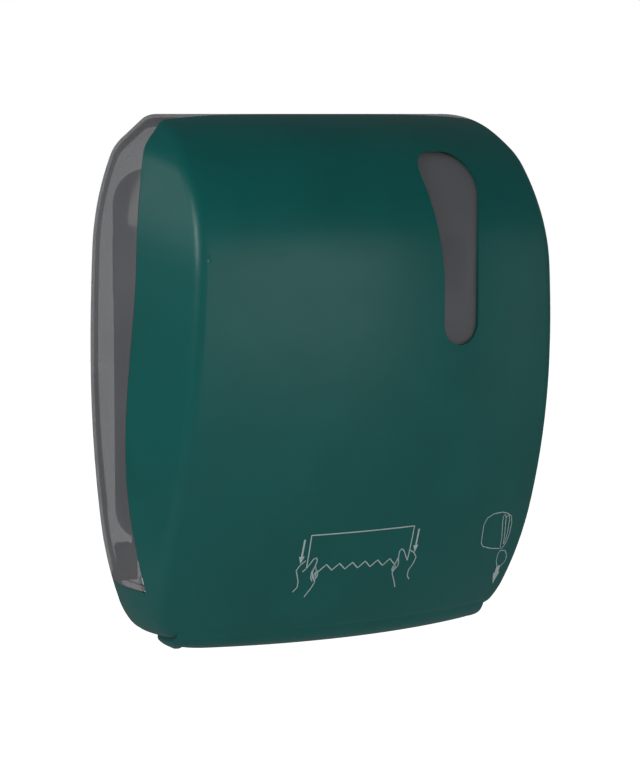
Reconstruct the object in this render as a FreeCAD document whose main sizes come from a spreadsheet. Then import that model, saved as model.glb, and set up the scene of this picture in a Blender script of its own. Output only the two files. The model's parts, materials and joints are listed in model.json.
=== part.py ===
import FreeCAD, Part
import math
import os
import Sketcher
from FreeCAD import Placement, Rotation, Vector

# Wall dispenser for rolled paper towels, with a hinged barrel-shaped cover, a drum that cuts the
# towel as it is pulled, and a hand lever under the right side that feeds a new end of paper.
# Millimetres. X runs to the right of someone who faces the dispenser, Y runs into the wall and
# Z runs up. The origin is the middle of the wall screw pattern, on the wall. A depth is how far
# a point stands out from the wall, so it is measured along -Y.

SIZES = {
    # Casing, outside
    "body_width": 330.0,
    "body_top": 186.0,
    "body_bottom": 175.0,
    "body_depth": 221.0,
    "crown_radius": 112.0,
    "belly_radius": 442.0,
    "belly_height": 57.0,
    "plan_radius": 400.0,
    "widest_height": 10.0,
    "wall_inset": 41.0,
    "rear_top_drop": 10.0,
    "rear_bottom_rise": 37.0,
    "front_taper": 0.37,
    "taper_blend": 25.0,
    "edge_radius": 13.0,
    # Casing, side outline seen from the front: radius and end angle of each arc
    "upper_side_radius": 1600.0,
    "upper_side_turn": 3.04,
    "shoulder_radius": 200.0,
    "shoulder_turn": 22.0,
    "top_corner_radius": 30.0,
    "corner_turn": 50.0,
    "lower_side_radius": 946.0,
    "lower_side_turn": 6.9,
    "hip_radius": 250.0,
    "hip_turn": 20.0,
    "bottom_corner_radius": 40.0,
    # Shells
    "cover_wall": 2.5,
    "shell_gap": 0.3,
    "liner_wall": 2.2,
    "lap_width": 4.0,
    "wall_clearance": 2.0,
    "rear_corner_depth": 16.0,
    "rear_corner_bottom": 122.0,
    "rear_corner_top": 96.0,
    "liner_bottom": 130.0,
    # Seam between the smoked side and the coloured front
    "seam_top_depth": 88.0,
    "seam_shoulder_depth": 123.0,
    "seam_shoulder_height": 165.0,
    "seam_depth": 139.0,
    "seam_height": 103.0,
    "seam_middle_depth": 133.5,
    "seam_low_depth": 129.0,
    "seam_low_height": 110.0,
    "smoked_bottom": 141.0,
    # Chin below the front
    "chin_half_width": 125.0,
    "chin_bottom": 185.0,
    "chin_edge_depth": 138.0,
    "chin_corner_radius": 6.0,
    "chin_lead": 0.15,
    # Opening under the casing
    "underside_half_width": 119.0,
    "underside_front": 126.0,
    # Window in the front
    "window_x": 51.0,
    "window_bottom": 43.0,
    "window_radius": 14.8,
    "window_straight_top": 74.0,
    "window_flank_radius": 143.0,
    "window_flank_turn": 23.3,
    "window_lobe_radius": 21.0,
    "window_shoulder_radius": 15.0,
    "window_shoulder_x": 46.5,
    "window_shoulder_height": 145.0,
    # Back plate
    "plate_half_width": 112.0,
    "plate_top": 146.0,
    "plate_bottom": 128.0,
    "plate_corner": 26.0,
    "plate_wall": 2.5,
    "plate_rim": 11.0,
    "wall_screw_x": 75.0,
    "wall_screw_z": 95.0,
    "wall_screw_radius": 2.75,
    "wall_boss_radius": 9.0,
    "wall_boss_depth": 6.0,
    "plate_rib": 1.8,
    "plate_rib_depth": 7.0,
    "plate_rib_pitch": 56.0,
    # Side frames of the cutting unit
    "frame_x": 101.0,
    "frame_wall": 3.0,
    "frame_top": 18.0,
    "frame_bottom": 160.0,
    "frame_front": 136.0,
    "frame_foot": 11.0,
    "frame_corner": 6.0,
    "screw_radius": 1.9,
    "screw_head_radius": 3.8,
    "screw_head_height": 2.4,
    "screw_end_depth": 0.5,
    "screw_slack": 0.05,
    # Cover hinge
    "hinge_depth": 26.0,
    "hinge_drop": 134.0,
    "hinge_pin_radius": 3.0,
    "hinge_pin_inner": 96.0,
    "ear_x": 110.5,
    "ear_half": 9.0,
    "running_clearance": 0.05,
    # Roll arms
    "roll_depth": 109.0,
    "roll_height": 77.0,
    "arm_x": 106.0,
    "arm_web": 3.0,
    "arm_outer": 117.5,
    "arm_hub_outer": 114.5,
    "arm_hub_radius": 15.0,
    "arm_front": 128.0,
    "arm_height": 40.0,
    "arm_root_depth": 28.0,
    "arm_wall": 2.0,
    "arm_foot": 11.0,
    "stub_radius": 6.0,
    "plug_radius": 18.5,
    "plug_flange_radius": 22.0,
    "plug_flange": 1.4,
    "plug_sleeve": 2.0,
    "plug_length": 11.1,
    "plug_inner_x": 88.0,
    "plunger_travel": 5.0,
    "plunger_head_radius": 9.0,
    "plunger_clip": 1.4,
    "plunger_spring_radius": 10.5,
    "plunger_spring_wire": 1.0,
    "plunger_spring_turns": 5.0,
    # Cutting drum
    "drum_depth": 92.0,
    "drum_drop": 92.0,
    "drum_radius": 36.0,
    "drum_wall": 3.0,
    "drum_half_length": 96.0,
    "drum_end_wall": 3.0,
    "drum_hub_radius": 9.0,
    "shaft_radius": 5.0,
    "bush_radius": 8.0,
    "bush_flange_radius": 10.0,
    "bush_flange": 1.0,
    "slot_angle": 30.0,
    "slot_back": 5.0,
    "slot_front": 15.0,
    "slot_half_length": 89.0,
    "ring_thickness": 1.4,
    "ring_width": 14.0,
    "ring_inner_x": 30.0,
    "ring_outer_x": 78.0,
    # Knife inside the drum, in the drum's own radial and tangential directions
    "knife_pivot_radial": 18.0,
    "knife_pivot_back": 14.0,
    "knife_pivot_radius": 2.5,
    "knife_reach": 30.0,
    "knife_rest_angle": 19.0,
    "knife_travel": 40.0,
    "carrier_thickness": 5.0,
    "carrier_length": 12.0,
    "carrier_half_length": 92.0,
    "blade_thickness": 1.0,
    "blade_half_length": 85.0,
    "tooth_pitch": 6.0,
    "tooth_depth": 4.0,
    "knife_arm_thickness": 1.6,
    "knife_arm_gap": 0.4,
    "follower_radius": 2.0,
    "follower_out": 13.5,
    "rail_gap": 0.4,
    "rail_wall": 4.0,
    "rail_start": 108.0,
    "rail_end": 50.0,
    "rail_mouth": 142.0,
    "rail_mouth_out": 29.0,
    "rail_thickness": 2.4,
    # Crank and its spring, outside the left frame
    "crank_radius": 22.0,
    "crank_thickness": 2.6,
    "crank_gap": 0.4,
    "crank_pin_out": 17.0,
    "crank_pin_radius": 1.8,
    "crank_pin_length": 5.4,
    "spring_radius": 2.2,
    "spring_wire": 0.8,
    "spring_turns": 12.0,
    "spring_post_depth": 48.0,
    "spring_post_drop": 33.0,
    "spring_post_radius": 1.8,
    "guard_outer": 115.6,
    "guard_wall": 1.4,
    "guard_gap": 0.35,
    # Ratchet and feed lever, outside the right frame
    "ratchet_radius": 22.0,
    "ratchet_teeth": 24.0,
    "ratchet_tooth": 2.6,
    "ratchet_thickness": 2.4,
    "lever_thickness": 2.0,
    "lever_hub_radius": 9.0,
    "lever_arm_width": 13.0,
    "lever_tip_depth": 92.0,
    "lever_tip_drop": 174.0,
    "lever_pad_height": 17.0,
    "lever_pad_thickness": 3.0,
    "pawl_radius": 3.2,
    "pawl_pivot_out": 38.0,
    "pawl_reach": 28.0,
    "pawl_lift": 8.0,
    "pawl_seat_rise": 1.0,
    "pawl_seat_slack": 3.5,
    "back_pawl_angle": 29.0,
    "pawl_pin_radius": 1.4,
    # Pinch roller above the drum's rear
    "pinch_angle": 135.0,
    "pinch_arm": 28.0,
    "pinch_radius": 9.0,
    "pinch_shaft_radius": 3.0,
    "pinch_half_length": 88.0,
    "paper_gap": 0.35,
    "pinch_pivot_radius": 2.5,
    "carriage_x": 96.0,
    "carriage_wall": 3.0,
    # Paper guides
    "guide_gap": 8.5,
    "guide_wall": 2.0,
    "guide_half_length": 101.0,
    "chute_bottom": 171.0,
    "chute_front_depth": 112.0,
    "chute_rear_depth": 100.0,
    "finger_pitch": 17.0,
    "guide_bar_height": -38.0,
    "guide_bar_radius": 4.0,
    # Lock in the top
    "lock_depth": 66.0,
    "lock_radius": 8.0,
    "lock_head_radius": 10.5,
    "lock_head_height": 2.0,
    "lock_seat_drop": 6.0,
    "lock_boss_radius": 13.0,
    "lock_boss_height": 12.0,
    "lock_length": 18.0,
    "tongue_length": 32.0,
    "tongue_width": 11.0,
    "tongue_thickness": 2.5,
    "keeper_half_width": 13.0,
    "keeper_wall": 2.5,
    "keeper_x": 12.0,
    "keeper_low": 152.0,
    "keeper_top": 158.0,
    "keeper_lug_top": 166.0,
    "keeper_foot": 118.0,
    "shell_screw_x": 104.0,
    "shell_screw_top": 112.0,
    "shell_screw_low": 96.0,
    "shell_boss_length": 12.0,
    "shell_boss_radius": 3.5,
    "shell_screw_radius": 1.4,
    "shell_washer_radius": 6.0,
}


class Size:
    """A number together with the sheet expression that gives it."""

    def __init__(self, value, text):
        self.value = float(value)
        self.text = text

    def __float__(self):
        return self.value

    def __add__(self, other):
        return Size(self.value + float(other), f"({self.text} + {text_of(other)})")

    def __radd__(self, other):
        return Size(float(other) + self.value, f"({text_of(other)} + {self.text})")

    def __sub__(self, other):
        return Size(self.value - float(other), f"({self.text} - {text_of(other)})")

    def __rsub__(self, other):
        return Size(float(other) - self.value, f"({text_of(other)} - {self.text})")

    def __mul__(self, other):
        return Size(self.value * float(other), f"({self.text} * {text_of(other)})")

    def __rmul__(self, other):
        return Size(float(other) * self.value, f"({text_of(other)} * {self.text})")

    def __truediv__(self, other):
        return Size(self.value / float(other), f"({self.text} / {text_of(other)})")

    def __neg__(self):
        return Size(-self.value, f"(0 - {self.text})")


def text_of(value):
    return value.text if isinstance(value, Size) else repr(float(value))


def make_sheet(doc):
    sheet = doc.addObject("Spreadsheet::Sheet", "Sizes")
    for row, (alias, value) in enumerate(SIZES.items(), start=1):
        sheet.set(f"A{row}", alias)
        sheet.set(f"B{row}", repr(value))
        sheet.setAlias(f"B{row}", alias)
    doc.recompute()
    return sheet


class Names:
    """The sheet's sizes as attributes."""

    def __init__(self, sheet):
        for alias in SIZES:
            setattr(self, alias, Size(sheet.get(alias), f"Sizes.{alias}"))


doc = FreeCAD.newDocument("towel_dispenser")
S = Names(make_sheet(doc))
NODES = []


def cosine(angle):
    return Size(math.cos(math.radians(float(angle))), f"cos({text_of(angle)} * 1deg)")


def sine(angle):
    return Size(math.sin(math.radians(float(angle))), f"sin({text_of(angle)} * 1deg)")


def bind(obj, prop, value):
    if isinstance(value, Size):
        obj.setExpression(prop, value.text)
    else:
        setattr(obj, prop, value)


def place(obj, x, y, z):
    """Moves an object's base to a point whose coordinates follow the sheet."""
    for axis, value in zip("xyz", (x, y, z)):
        obj.setExpression(f"Placement.Base.{axis}", text_of(value))


def node(obj, label):
    obj.Label = label
    NODES.append(obj)
    return obj


# Part primitives in depths


def box(name, xs, ds, zs):
    """A block between two x values, two depths and two heights."""
    obj = doc.addObject("Part::Box", name)
    bind(obj, "Length", xs[1] - xs[0])
    bind(obj, "Width", ds[1] - ds[0])
    bind(obj, "Height", zs[1] - zs[0])
    place(obj, xs[0], -1 * ds[1], zs[0])
    return obj


def rod(name, xs, depth, height, radius):
    """A round bar along X."""
    obj = doc.addObject("Part::Cylinder", name)
    bind(obj, "Radius", radius)
    bind(obj, "Height", xs[1] - xs[0])
    obj.Placement = Placement(Vector(), Rotation(Vector(0, 1, 0), 90))
    place(obj, xs[0], -1 * depth, height)
    return obj


def dowel(name, x, ds, height, radius):
    """A round bar along the depth."""
    obj = doc.addObject("Part::Cylinder", name)
    bind(obj, "Radius", radius)
    bind(obj, "Height", ds[1] - ds[0])
    obj.Placement = Placement(Vector(), Rotation(Vector(1, 0, 0), 90))
    place(obj, x, -1 * ds[0], height)
    return obj


def post(name, x, depth, zs, radius):
    """A round bar along Z."""
    obj = doc.addObject("Part::Cylinder", name)
    bind(obj, "Radius", radius)
    bind(obj, "Height", zs[1] - zs[0])
    place(obj, x, -1 * depth, zs[0])
    return obj


def fuse(name, shapes):
    obj = doc.addObject("Part::MultiFuse", name)
    obj.Shapes = shapes
    obj.Refine = True
    return obj


def cut(name, base, tools):
    obj = doc.addObject("Part::Cut", name)
    obj.Base = base
    obj.Tool = tools[0] if len(tools) == 1 else fuse(name + "_tools", tools)
    obj.Refine = True
    return obj


def group(name, shapes):
    """Separate solids that share one node."""
    obj = doc.addObject("Part::Compound", name)
    obj.Links = shapes
    return obj


# Sketches and features


def new_body(name):
    return doc.addObject("PartDesign::Body", name)


def sketch(body, name, role, offset=0.0):
    """A sketch on one of the body's origin planes, moved along the plane's normal."""
    plane = next(item for item in body.Origin.OriginFeatures if item.Role == role)
    obj = body.newObject("Sketcher::SketchObject", name)
    obj.AttachmentSupport = [(plane, "")]
    obj.MapMode = "FlatFace"
    obj.setExpression("AttachmentOffset.Base.z", text_of(offset))
    return obj


def fix_point(drawing, index, end, point):
    for kind, value in zip(("DistanceX", "DistanceY"), point):
        number = drawing.addConstraint(Sketcher.Constraint(kind, -1, 1, index, end, float(value)))
        if isinstance(value, Size):
            drawing.setExpression(f"Constraints[{number}]", value.text)


def polygon(drawing, points):
    """A closed outline of straight lines through points that follow the sheet."""
    first = drawing.GeometryCount
    corners = [Vector(float(u), float(v), 0) for u, v in points]
    count = len(corners)
    for i in range(count):
        drawing.addGeometry(Part.LineSegment(corners[i], corners[(i + 1) % count]), False)
    for i in range(count):
        after = first + (i + 1) % count
        drawing.addConstraint(Sketcher.Constraint("Coincident", first + i, 2, after, 1))
    for i, point in enumerate(points):
        fix_point(drawing, first + i, 1, point)


def circle(drawing, u, v, radius):
    index = drawing.addGeometry(
        Part.Circle(Vector(float(u), float(v), 0), Vector(0, 0, 1), float(radius)), False
    )
    fix_point(drawing, index, 3, (u, v))
    number = drawing.addConstraint(Sketcher.Constraint("Radius", index, float(radius)))
    if isinstance(radius, Size):
        drawing.setExpression(f"Constraints[{number}]", radius.text)


def feature(body, kind, name, drawing, length, reverse=False, both=False):
    """A pad or pocket of a sketch."""
    obj = body.newObject(f"PartDesign::{kind}", name)
    obj.Profile = drawing
    bind(obj, "Length", length)
    obj.Reversed = reverse
    obj.Midplane = both
    drawing.Visibility = False
    return obj


def pad(body, name, drawing, length, **options):
    return feature(body, "Pad", name, drawing, length, **options)


def pocket(body, name, drawing, length, **options):
    """A pocket that has to remove material."""
    doc.recompute()
    before = body.Shape.Volume
    obj = feature(body, "Pocket", name, drawing, length, **options)
    doc.recompute()
    if not obj.Shape.Volume < before:
        raise RuntimeError(f"{name} cuts nothing")
    return obj


def edges_along(shape, direction, test=None):
    """Names of the straight edges parallel to a direction that pass a test on their middle."""
    found = []
    for number, edge in enumerate(shape.Edges, start=1):
        if type(edge.Curve).__name__ not in ("Line", "LineSegment"):
            continue
        if abs(edge.tangentAt(edge.FirstParameter).dot(direction)) < 0.999:
            continue
        if test is None or test(edge.CenterOfMass):
            found.append(f"Edge{number}")
    return found


def round_edges(body, name, direction, radius, test=None):
    doc.recompute()
    base = body.Tip
    obj = body.newObject("PartDesign::Fillet", name)
    obj.Base = (base, edges_along(base.Shape, direction, test))
    bind(obj, "Radius", radius)
    return obj


def pattern_along(body, name, original, axis_role, length, count):
    obj = body.newObject("PartDesign::LinearPattern", name)
    axis = next(item for item in body.Origin.OriginFeatures if item.Role == axis_role)
    obj.Originals = [original]
    obj.Direction = (axis, [""])
    bind(obj, "Length", length)
    obj.Occurrences = count
    body.Tip = obj
    return obj


def shaped(label, shape):
    """A sub-part whose curved shape is worked out from the sheet's numbers."""
    obj = doc.addObject("Part::Feature", label)
    obj.Shape = shape
    return node(obj, label)


# The casing's outer form: side walls lofted through upright outlines, cut by a turned profile

REAR = -12.0
LOFT_DEPTHS = (REAR, 20.0, 60.0, 109.0, 140.0, 170.0, 200.0, 240.0)
OUTLINE_REACH = 60.0
GIRTH = S.body_depth - S.crown_radius
PLAN_AXIS = S.plan_radius - S.body_depth


def polar(radius, degrees):
    return radius * math.cos(math.radians(degrees)), radius * math.sin(math.radians(degrees))


def arc(start, middle, end):
    return Part.Arc(start, middle, end).toShape()


def side_chain(arcs, inset, scale, offset, up):
    """Arcs of one side outline from its widest point, each as start, middle and end (x, z)."""
    half = float(S.body_width) / 2
    shift = (half - inset) - half * scale
    x, z = half, float(S.widest_height)
    begin = 0.0
    chain = []
    for radius, end in arcs:
        cx, cz = x - polar(radius, begin)[0], z - up * polar(radius, begin)[1]
        spot = []
        for angle in (begin, (begin + end) / 2, end):
            dx, dz = polar(radius * scale - offset, angle)
            spot.append((cx * scale + shift + dx, cz * scale + up * dz))
        chain.append(spot)
        x, z = cx + polar(radius, end)[0], cz + up * polar(radius, end)[1]
        begin = end
    last = chain[-1][2]
    dx, dz = polar(OUTLINE_REACH, begin)
    chain.append([last, None, (last[0] - dz, last[1] + up * dx)])
    return chain


def girth_shrink(depth):
    """Side inset and upright scale of the outline at a depth."""
    girth, half = float(GIRTH), float(S.body_width) / 2
    if depth < girth:
        share = ((girth - depth) / girth) ** 2
        return float(S.wall_inset) * share, 1 - float(S.rear_top_drop) / float(S.body_top) * share
    blend = float(S.taper_blend)
    inset = float(S.front_taper) * (math.hypot(depth - girth, blend) - blend)
    return inset, 1 - inset / half


def side_outline(depth, offset):
    inset, scale = girth_shrink(depth)
    upper = [
        (float(S.upper_side_radius), float(S.upper_side_turn)),
        (float(S.shoulder_radius), float(S.shoulder_turn)),
        (float(S.top_corner_radius), float(S.corner_turn)),
    ]
    lower = [
        (float(S.lower_side_radius), float(S.lower_side_turn)),
        (float(S.hip_radius), float(S.hip_turn)),
        (float(S.bottom_corner_radius), float(S.corner_turn)),
    ]
    chains = [
        side_chain(upper, inset, scale, offset, 1),
        side_chain(lower, inset, scale, offset, -1),
    ]
    edges = []
    for mirror in (1, -1):
        for chain in chains:
            for start, middle, end in chain:
                a, b = Vector(mirror * start[0], -depth, start[1]), Vector(mirror * end[0], -depth, end[1])
                if middle is None:
                    edges.append(Part.makeLine(a, b))
                else:
                    edges.append(arc(a, Vector(mirror * middle[0], -depth, middle[1]), b))
    for chain in chains:
        x, z = chain[-1][2]
        edges.append(Part.makeLine(Vector(x, -depth, z), Vector(-x, -depth, z)))
    return Part.Wire(Part.__sortEdges__(edges))


def turned(edges, reach=120.0):
    """A side profile swept about the upright axis of the curved front."""
    face = Part.Face(Part.Wire(Part.__sortEdges__(edges)))
    centre = Vector(0, float(PLAN_AXIS), 0)
    face.rotate(centre, Vector(0, 0, 1), -reach / 2)
    return face.revolve(centre, Vector(0, 0, 1), reach)


def profile_arc(centre, radius, begin, end):
    """An arc of the side profile, in depths, from one angle to another."""
    points = []
    for angle in (begin, (begin + end) / 2, end):
        dx, dz = polar(radius, angle)
        points.append(Vector(0, -(centre[0] + dx), centre[1] + dz))
    return arc(*points), points[0], points[2]


def casing(offset):
    """The solid inside the casing's outer face, moved inwards by an offset."""
    top, bottom, girth = float(S.body_top), float(S.body_bottom), float(GIRTH)
    crown, belly = float(S.crown_radius), float(S.belly_radius)
    drop, rise = float(S.rear_top_drop), float(S.rear_bottom_rise)
    top_radius = (girth**2 + drop**2) / (2 * drop)
    bottom_radius = (girth**2 + rise**2) / (2 * rise)
    sides = Part.makeLoft([side_outline(depth, offset) for depth in LOFT_DEPTHS], True, False)

    def wall_angle(radius):
        return math.degrees(math.acos((REAR - girth) / radius))

    radius = top_radius - offset
    rear_top, a0, a1 = profile_arc((girth, top - top_radius), radius, wall_angle(radius), 90)
    front_top, b0, b1 = profile_arc((girth, top - crown), crown - offset, 90, 0)
    belly_centre = (float(S.body_depth) - belly, float(S.belly_height))
    low_angle = math.degrees(math.asin((offset - bottom - belly_centre[1]) / (belly - offset)))
    front, c0, c1 = profile_arc(belly_centre, belly - offset, 0, low_angle)
    radius = bottom_radius - offset
    rear_bottom, d0, d1 = profile_arc(
        (girth, bottom_radius - bottom), radius, 270, 360 - wall_angle(radius)
    )
    axis = float(PLAN_AXIS)
    low, high = Vector(0, axis, d1.z), Vector(0, axis, a0.z)
    edges = [rear_top, front_top, front, Part.makeLine(c1, d0), rear_bottom]
    edges += [Part.makeLine(d1, low), Part.makeLine(low, high), Part.makeLine(high, a0)]
    if (b1 - c0).Length > 1e-6:
        edges.append(Part.makeLine(b1, c0))
    solid = sides.common(turned(edges))
    return round_ridge(solid, float(S.edge_radius) - offset)


def round_ridge(solid, radius):
    """Rounds the ridge between the front and the sides and the ends of the top."""
    ridge = []
    for edge in solid.Edges:
        faces = solid.ancestorsOfType(edge, Part.Face)
        middle = edge.valueAt((edge.FirstParameter + edge.LastParameter) / 2)
        if len(faces) != 2 or middle.y > -float(GIRTH) * 0.6:
            continue
        normals = [face.normalAt(*face.Surface.parameter(middle)) for face in faces]
        if normals[0].getAngle(normals[1]) > math.radians(12):
            ridge.append(edge)
    return solid.makeFillet(radius, ridge)


def chin(offset):
    """The rounded chin below the front, moved inwards by an offset."""
    belly = float(S.belly_radius)
    centre = (float(S.body_depth) - belly, float(S.belly_height))
    edge_depth, bottom = float(S.chin_edge_depth), float(S.chin_bottom)
    across, down = edge_depth - centre[0], bottom + centre[1]
    nose = (belly**2 - across**2 - down**2) / (2 * (belly - down))
    turn = math.degrees(math.atan2(nose - down, across))
    lead = float(S.chin_lead)
    back = float(S.underside_front) + offset
    rear = -180 + math.degrees(math.acos((edge_depth + lead - back) / (nose - offset)))
    front, a0, a1 = profile_arc((edge_depth + lead, nose - bottom), nose - offset, turn + 20, rear)
    top = Vector(0, -back, a0.z)
    edges = [front, Part.makeLine(a1, top), Part.makeLine(top, a0)]
    solid = turned(edges)
    half = float(S.chin_half_width) - offset
    corner = float(S.chin_corner_radius)
    floor = offset - bottom
    block = Part.makeBox(2 * half, 260.0, 120.0, Vector(-half, -260.0, floor))
    lower = [
        edge for edge in block.Edges
        if abs(edge.CenterOfMass.z - floor) < 1e-6 and abs(abs(edge.CenterOfMass.x) - half) < 1e-6
    ]
    return solid.common(block.makeFillet(max(corner - offset, 0.5), lower))


def rear_zone(shrink):
    """The region of the smoked sides and top, less a margin along its seam."""
    def at(depth, height):
        return Vector(-300, -(float(depth) - shrink), float(height))

    low = -float(S.smoked_bottom) + shrink
    points = [
        at(S.seam_top_depth, S.body_top + 24),
        at(S.seam_shoulder_depth, S.seam_shoulder_height),
        at(S.seam_depth, S.seam_height),
        at(S.seam_middle_depth, S.widest_height),
        at(S.seam_low_depth, -1 * S.seam_low_height),
    ]
    curve = Part.BSplineCurve()
    curve.interpolate(points)
    corner = Vector(-300, points[-1].y, low)
    rear_low, rear_high = Vector(-300, 30, low), Vector(-300, 30, points[0].z)
    edges = [curve.toShape(), Part.makeLine(points[-1], corner), Part.makeLine(corner, rear_low)]
    edges += [Part.makeLine(rear_low, rear_high), Part.makeLine(rear_high, points[0])]
    return Part.Face(Part.Wire(edges)).extrude(Vector(600, 0, 0))


def window_cutter():
    """The outline of the window: a slot that widens into a lobe at the top right."""
    x, low, radius = float(S.window_x), float(S.window_bottom), float(S.window_radius)
    left, right = x - radius, x + radius
    straight = float(S.window_straight_top)
    flank, turn = float(S.window_flank_radius), float(S.window_flank_turn)
    lobe, shoulder = float(S.window_lobe_radius), float(S.window_shoulder_radius)
    y = -400.0

    def at(px, pz):
        return Vector(px, y, pz)

    def flank_point(angle):
        dx, dz = polar(flank, angle)
        return at(right + flank - dx, straight + dz)

    flank_end = flank_point(turn)
    dx, dz = polar(lobe, -turn)
    lobe_x, lobe_z = flank_end.x - dx, flank_end.z - dz

    def lobe_point(angle):
        ax, az = polar(lobe, angle)
        return at(lobe_x + ax, lobe_z + az)

    top = lobe_z + lobe
    shoulder_x = float(S.window_shoulder_x)
    shoulder_z = top - shoulder
    slant = math.degrees(math.atan2(left - (shoulder_x - shoulder), shoulder_z - straight))

    def shoulder_point(angle):
        ax, az = polar(shoulder, angle)
        return at(shoulder_x + ax, shoulder_z + az)

    left_end = shoulder_point(180 + slant)
    edges = [
        arc(at(left, low), at(x, low - radius), at(right, low)),
        Part.makeLine(at(right, low), at(right, straight)),
        arc(at(right, straight), flank_point(turn / 2), flank_end),
        arc(flank_end, lobe_point((90 - turn) / 2), lobe_point(90)),
        Part.makeLine(lobe_point(90), shoulder_point(90)),
        arc(shoulder_point(90), shoulder_point(135 + slant / 2), left_end),
        Part.makeLine(left_end, at(left, straight)),
        Part.makeLine(at(left, straight), at(left, low)),
    ]
    return Part.Face(Part.Wire(edges)).extrude(Vector(0, 400 - float(GIRTH), 0))


def slab(xs, ds, zs):
    """A plain block for the shells' own cuts."""
    size = (xs[1] - xs[0], ds[1] - ds[0], zs[1] - zs[0])
    return Part.makeBox(*size, Vector(xs[0], -ds[1], zs[0]))


def behind_wall():
    """Everything nearer the wall than the cover's rear edge, with its lower corners cut away."""
    depth = float(S.wall_clearance)
    corner = float(S.rear_corner_depth)
    points = [
        Vector(-300, 60, 300), Vector(-300, -depth, 300), Vector(-300, -depth, -float(S.rear_corner_top)),
        Vector(-300, -corner, -float(S.rear_corner_bottom)), Vector(-300, -corner, -300),
        Vector(-300, 60, -300),
    ]
    return Part.Face(Part.makePolygon(points + points[:1])).extrude(Vector(600, 0, 0))


WALL = float(S.cover_wall)
LINER = WALL + float(S.shell_gap)
INNER = LINER + float(S.liner_wall)
OUTER_FORM = casing(0.0)
WALL_FORM = casing(WALL)
LINER_FORM = casing(LINER)
INNER_FORM = casing(INNER)


def hinge_ears():
    """The cover's two bored ears. They grow from the skin below the smoked sides."""
    depth, height, half = float(S.hinge_depth), -float(S.hinge_drop), float(S.ear_half)
    seam = -float(S.smoked_bottom)
    foot = casing(WALL / 2).common(slab((-300, 300), (0, 300), (-300, seam)))
    head = casing(INNER + float(S.shell_gap)).common(slab((-300, 300), (0, 300), (seam, 300)))
    form = foot.fuse(head)
    ears = []
    for side in (1, -1):
        xs = sorted((side * float(S.ear_x), side * 140.0))
        block = slab(xs, (depth - half, depth + half), (seam - half, height + half))
        bore = Part.makeCylinder(
            float(S.hinge_pin_radius), 60, Vector(xs[0] - 10, -depth, height), Vector(1, 0, 0)
        )
        ears.append(block.common(form).cut(bore))
    return ears


def front_cover():
    underside = float(S.underside_half_width)
    opening = slab((-underside, underside), (-30, float(S.underside_front)), (-230, -float(S.liner_bottom)))
    outer = OUTER_FORM.fuse(chin(0.0))
    inner = WALL_FORM.fuse(chin(WALL))
    shell = outer.cut(inner)
    shell = shell.cut(rear_zone(0.0)).cut(behind_wall()).cut(window_cutter()).cut(opening)
    return shell.fuse(hinge_ears())


def smoked_shell():
    gap, lap = float(S.shell_gap), float(S.lap_width)
    outer = LINER_FORM.fuse(OUTER_FORM.common(rear_zone(gap)))
    inner = INNER_FORM.fuse(WALL_FORM.common(rear_zone(gap + lap)))
    below = slab((-300, 300), (-30, 400), (-300, -float(S.liner_bottom)))
    lower = slab((-300, 300), (float(S.seam_low_depth) - gap - lap, 400), (-300, -float(S.liner_bottom)))
    rest = slab((-300, 300), (-30, 400), (-300, -float(S.smoked_bottom) + gap))
    return outer.cut(inner).cut(behind_wall()).cut(lower).cut(rest)


def shell_boss_spots():
    """Places and end depths of the four bosses that hold the smoked shell in the front."""
    x, length = float(S.shell_screw_x), float(S.shell_boss_length)
    spots = []
    for z in (float(S.shell_screw_top), -float(S.shell_screw_low)):
        sag = float(S.plan_radius) - math.sqrt(float(S.plan_radius) ** 2 - x**2)
        if z > float(S.body_top) - float(S.crown_radius):
            rise = z - float(S.body_top) + float(S.crown_radius)
            front = float(GIRTH) + math.sqrt(float(S.crown_radius) ** 2 - rise**2)
        else:
            fall = z - float(S.belly_height)
            belly = float(S.belly_radius)
            front = float(S.body_depth) - belly + math.sqrt(belly**2 - fall**2)
        spots += [(side * x, z, front - sag - length) for side in (1, -1)]
    return spots


def boss(x, z, depth, radius, bore, form):
    """A bored boss that grows from a shell's wall back to a flat end."""
    away = Vector(0, -1, 0)
    solid = Part.makeCylinder(radius, 60, Vector(x, -depth, z), away).common(form)
    return solid.cut(Part.makeCylinder(bore, 60, Vector(x, -depth - WALL, z), away)) if bore else solid


def lock_seat(shell):
    """The shell with a sunk, bored boss for the lock in its top."""
    seat = float(S.body_top) - float(S.lock_seat_drop)
    x, y = 0.0, -float(S.lock_depth)
    low = seat - float(S.lock_boss_height)

    def drum(radius, bottom, top):
        return Part.makeCylinder(radius, top - bottom, Vector(x, y, bottom))

    post_form = drum(float(S.lock_boss_radius), low, seat + 20).common(casing(WALL / 2))
    recess = drum(float(S.lock_head_radius) + float(S.shell_gap), seat, seat + 40)
    bore = drum(float(S.lock_radius) + float(S.running_clearance), low - 10, seat + 40)
    return shell.fuse(post_form).cut(recess).cut(bore)


def dressed_shells():
    """Both shells with the bosses that join them."""
    cover, shell = front_cover(), lock_seat(smoked_shell())
    cover_form, shell_form = casing(WALL / 2), casing((LINER + INNER) / 2)
    radius = float(S.shell_boss_radius)
    for x, z, depth in shell_boss_spots():
        cover = cover.fuse(boss(x, z, depth, radius, 0, cover_form))
        outer = boss(x, z, depth, 2 * radius, 0, shell_form)
        shell = shell.fuse(outer)
        hole = Part.makeCylinder(radius + float(S.shell_gap), 60, Vector(x, 5 - depth, z), Vector(0, -1, 0))
        shell = shell.cut(hole)
        pilot = Part.makeCylinder(float(S.shell_screw_radius), 8, Vector(x, -depth, z), Vector(0, -1, 0))
        cover = cover.cut(pilot)
    return cover, shell


COVER, SHELL = dressed_shells()
shaped("front_cover", COVER)
shaped("smoked_shell", SHELL)


# Back plate: a shallow moulded tray with four wall screw bosses and upright ribs

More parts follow.
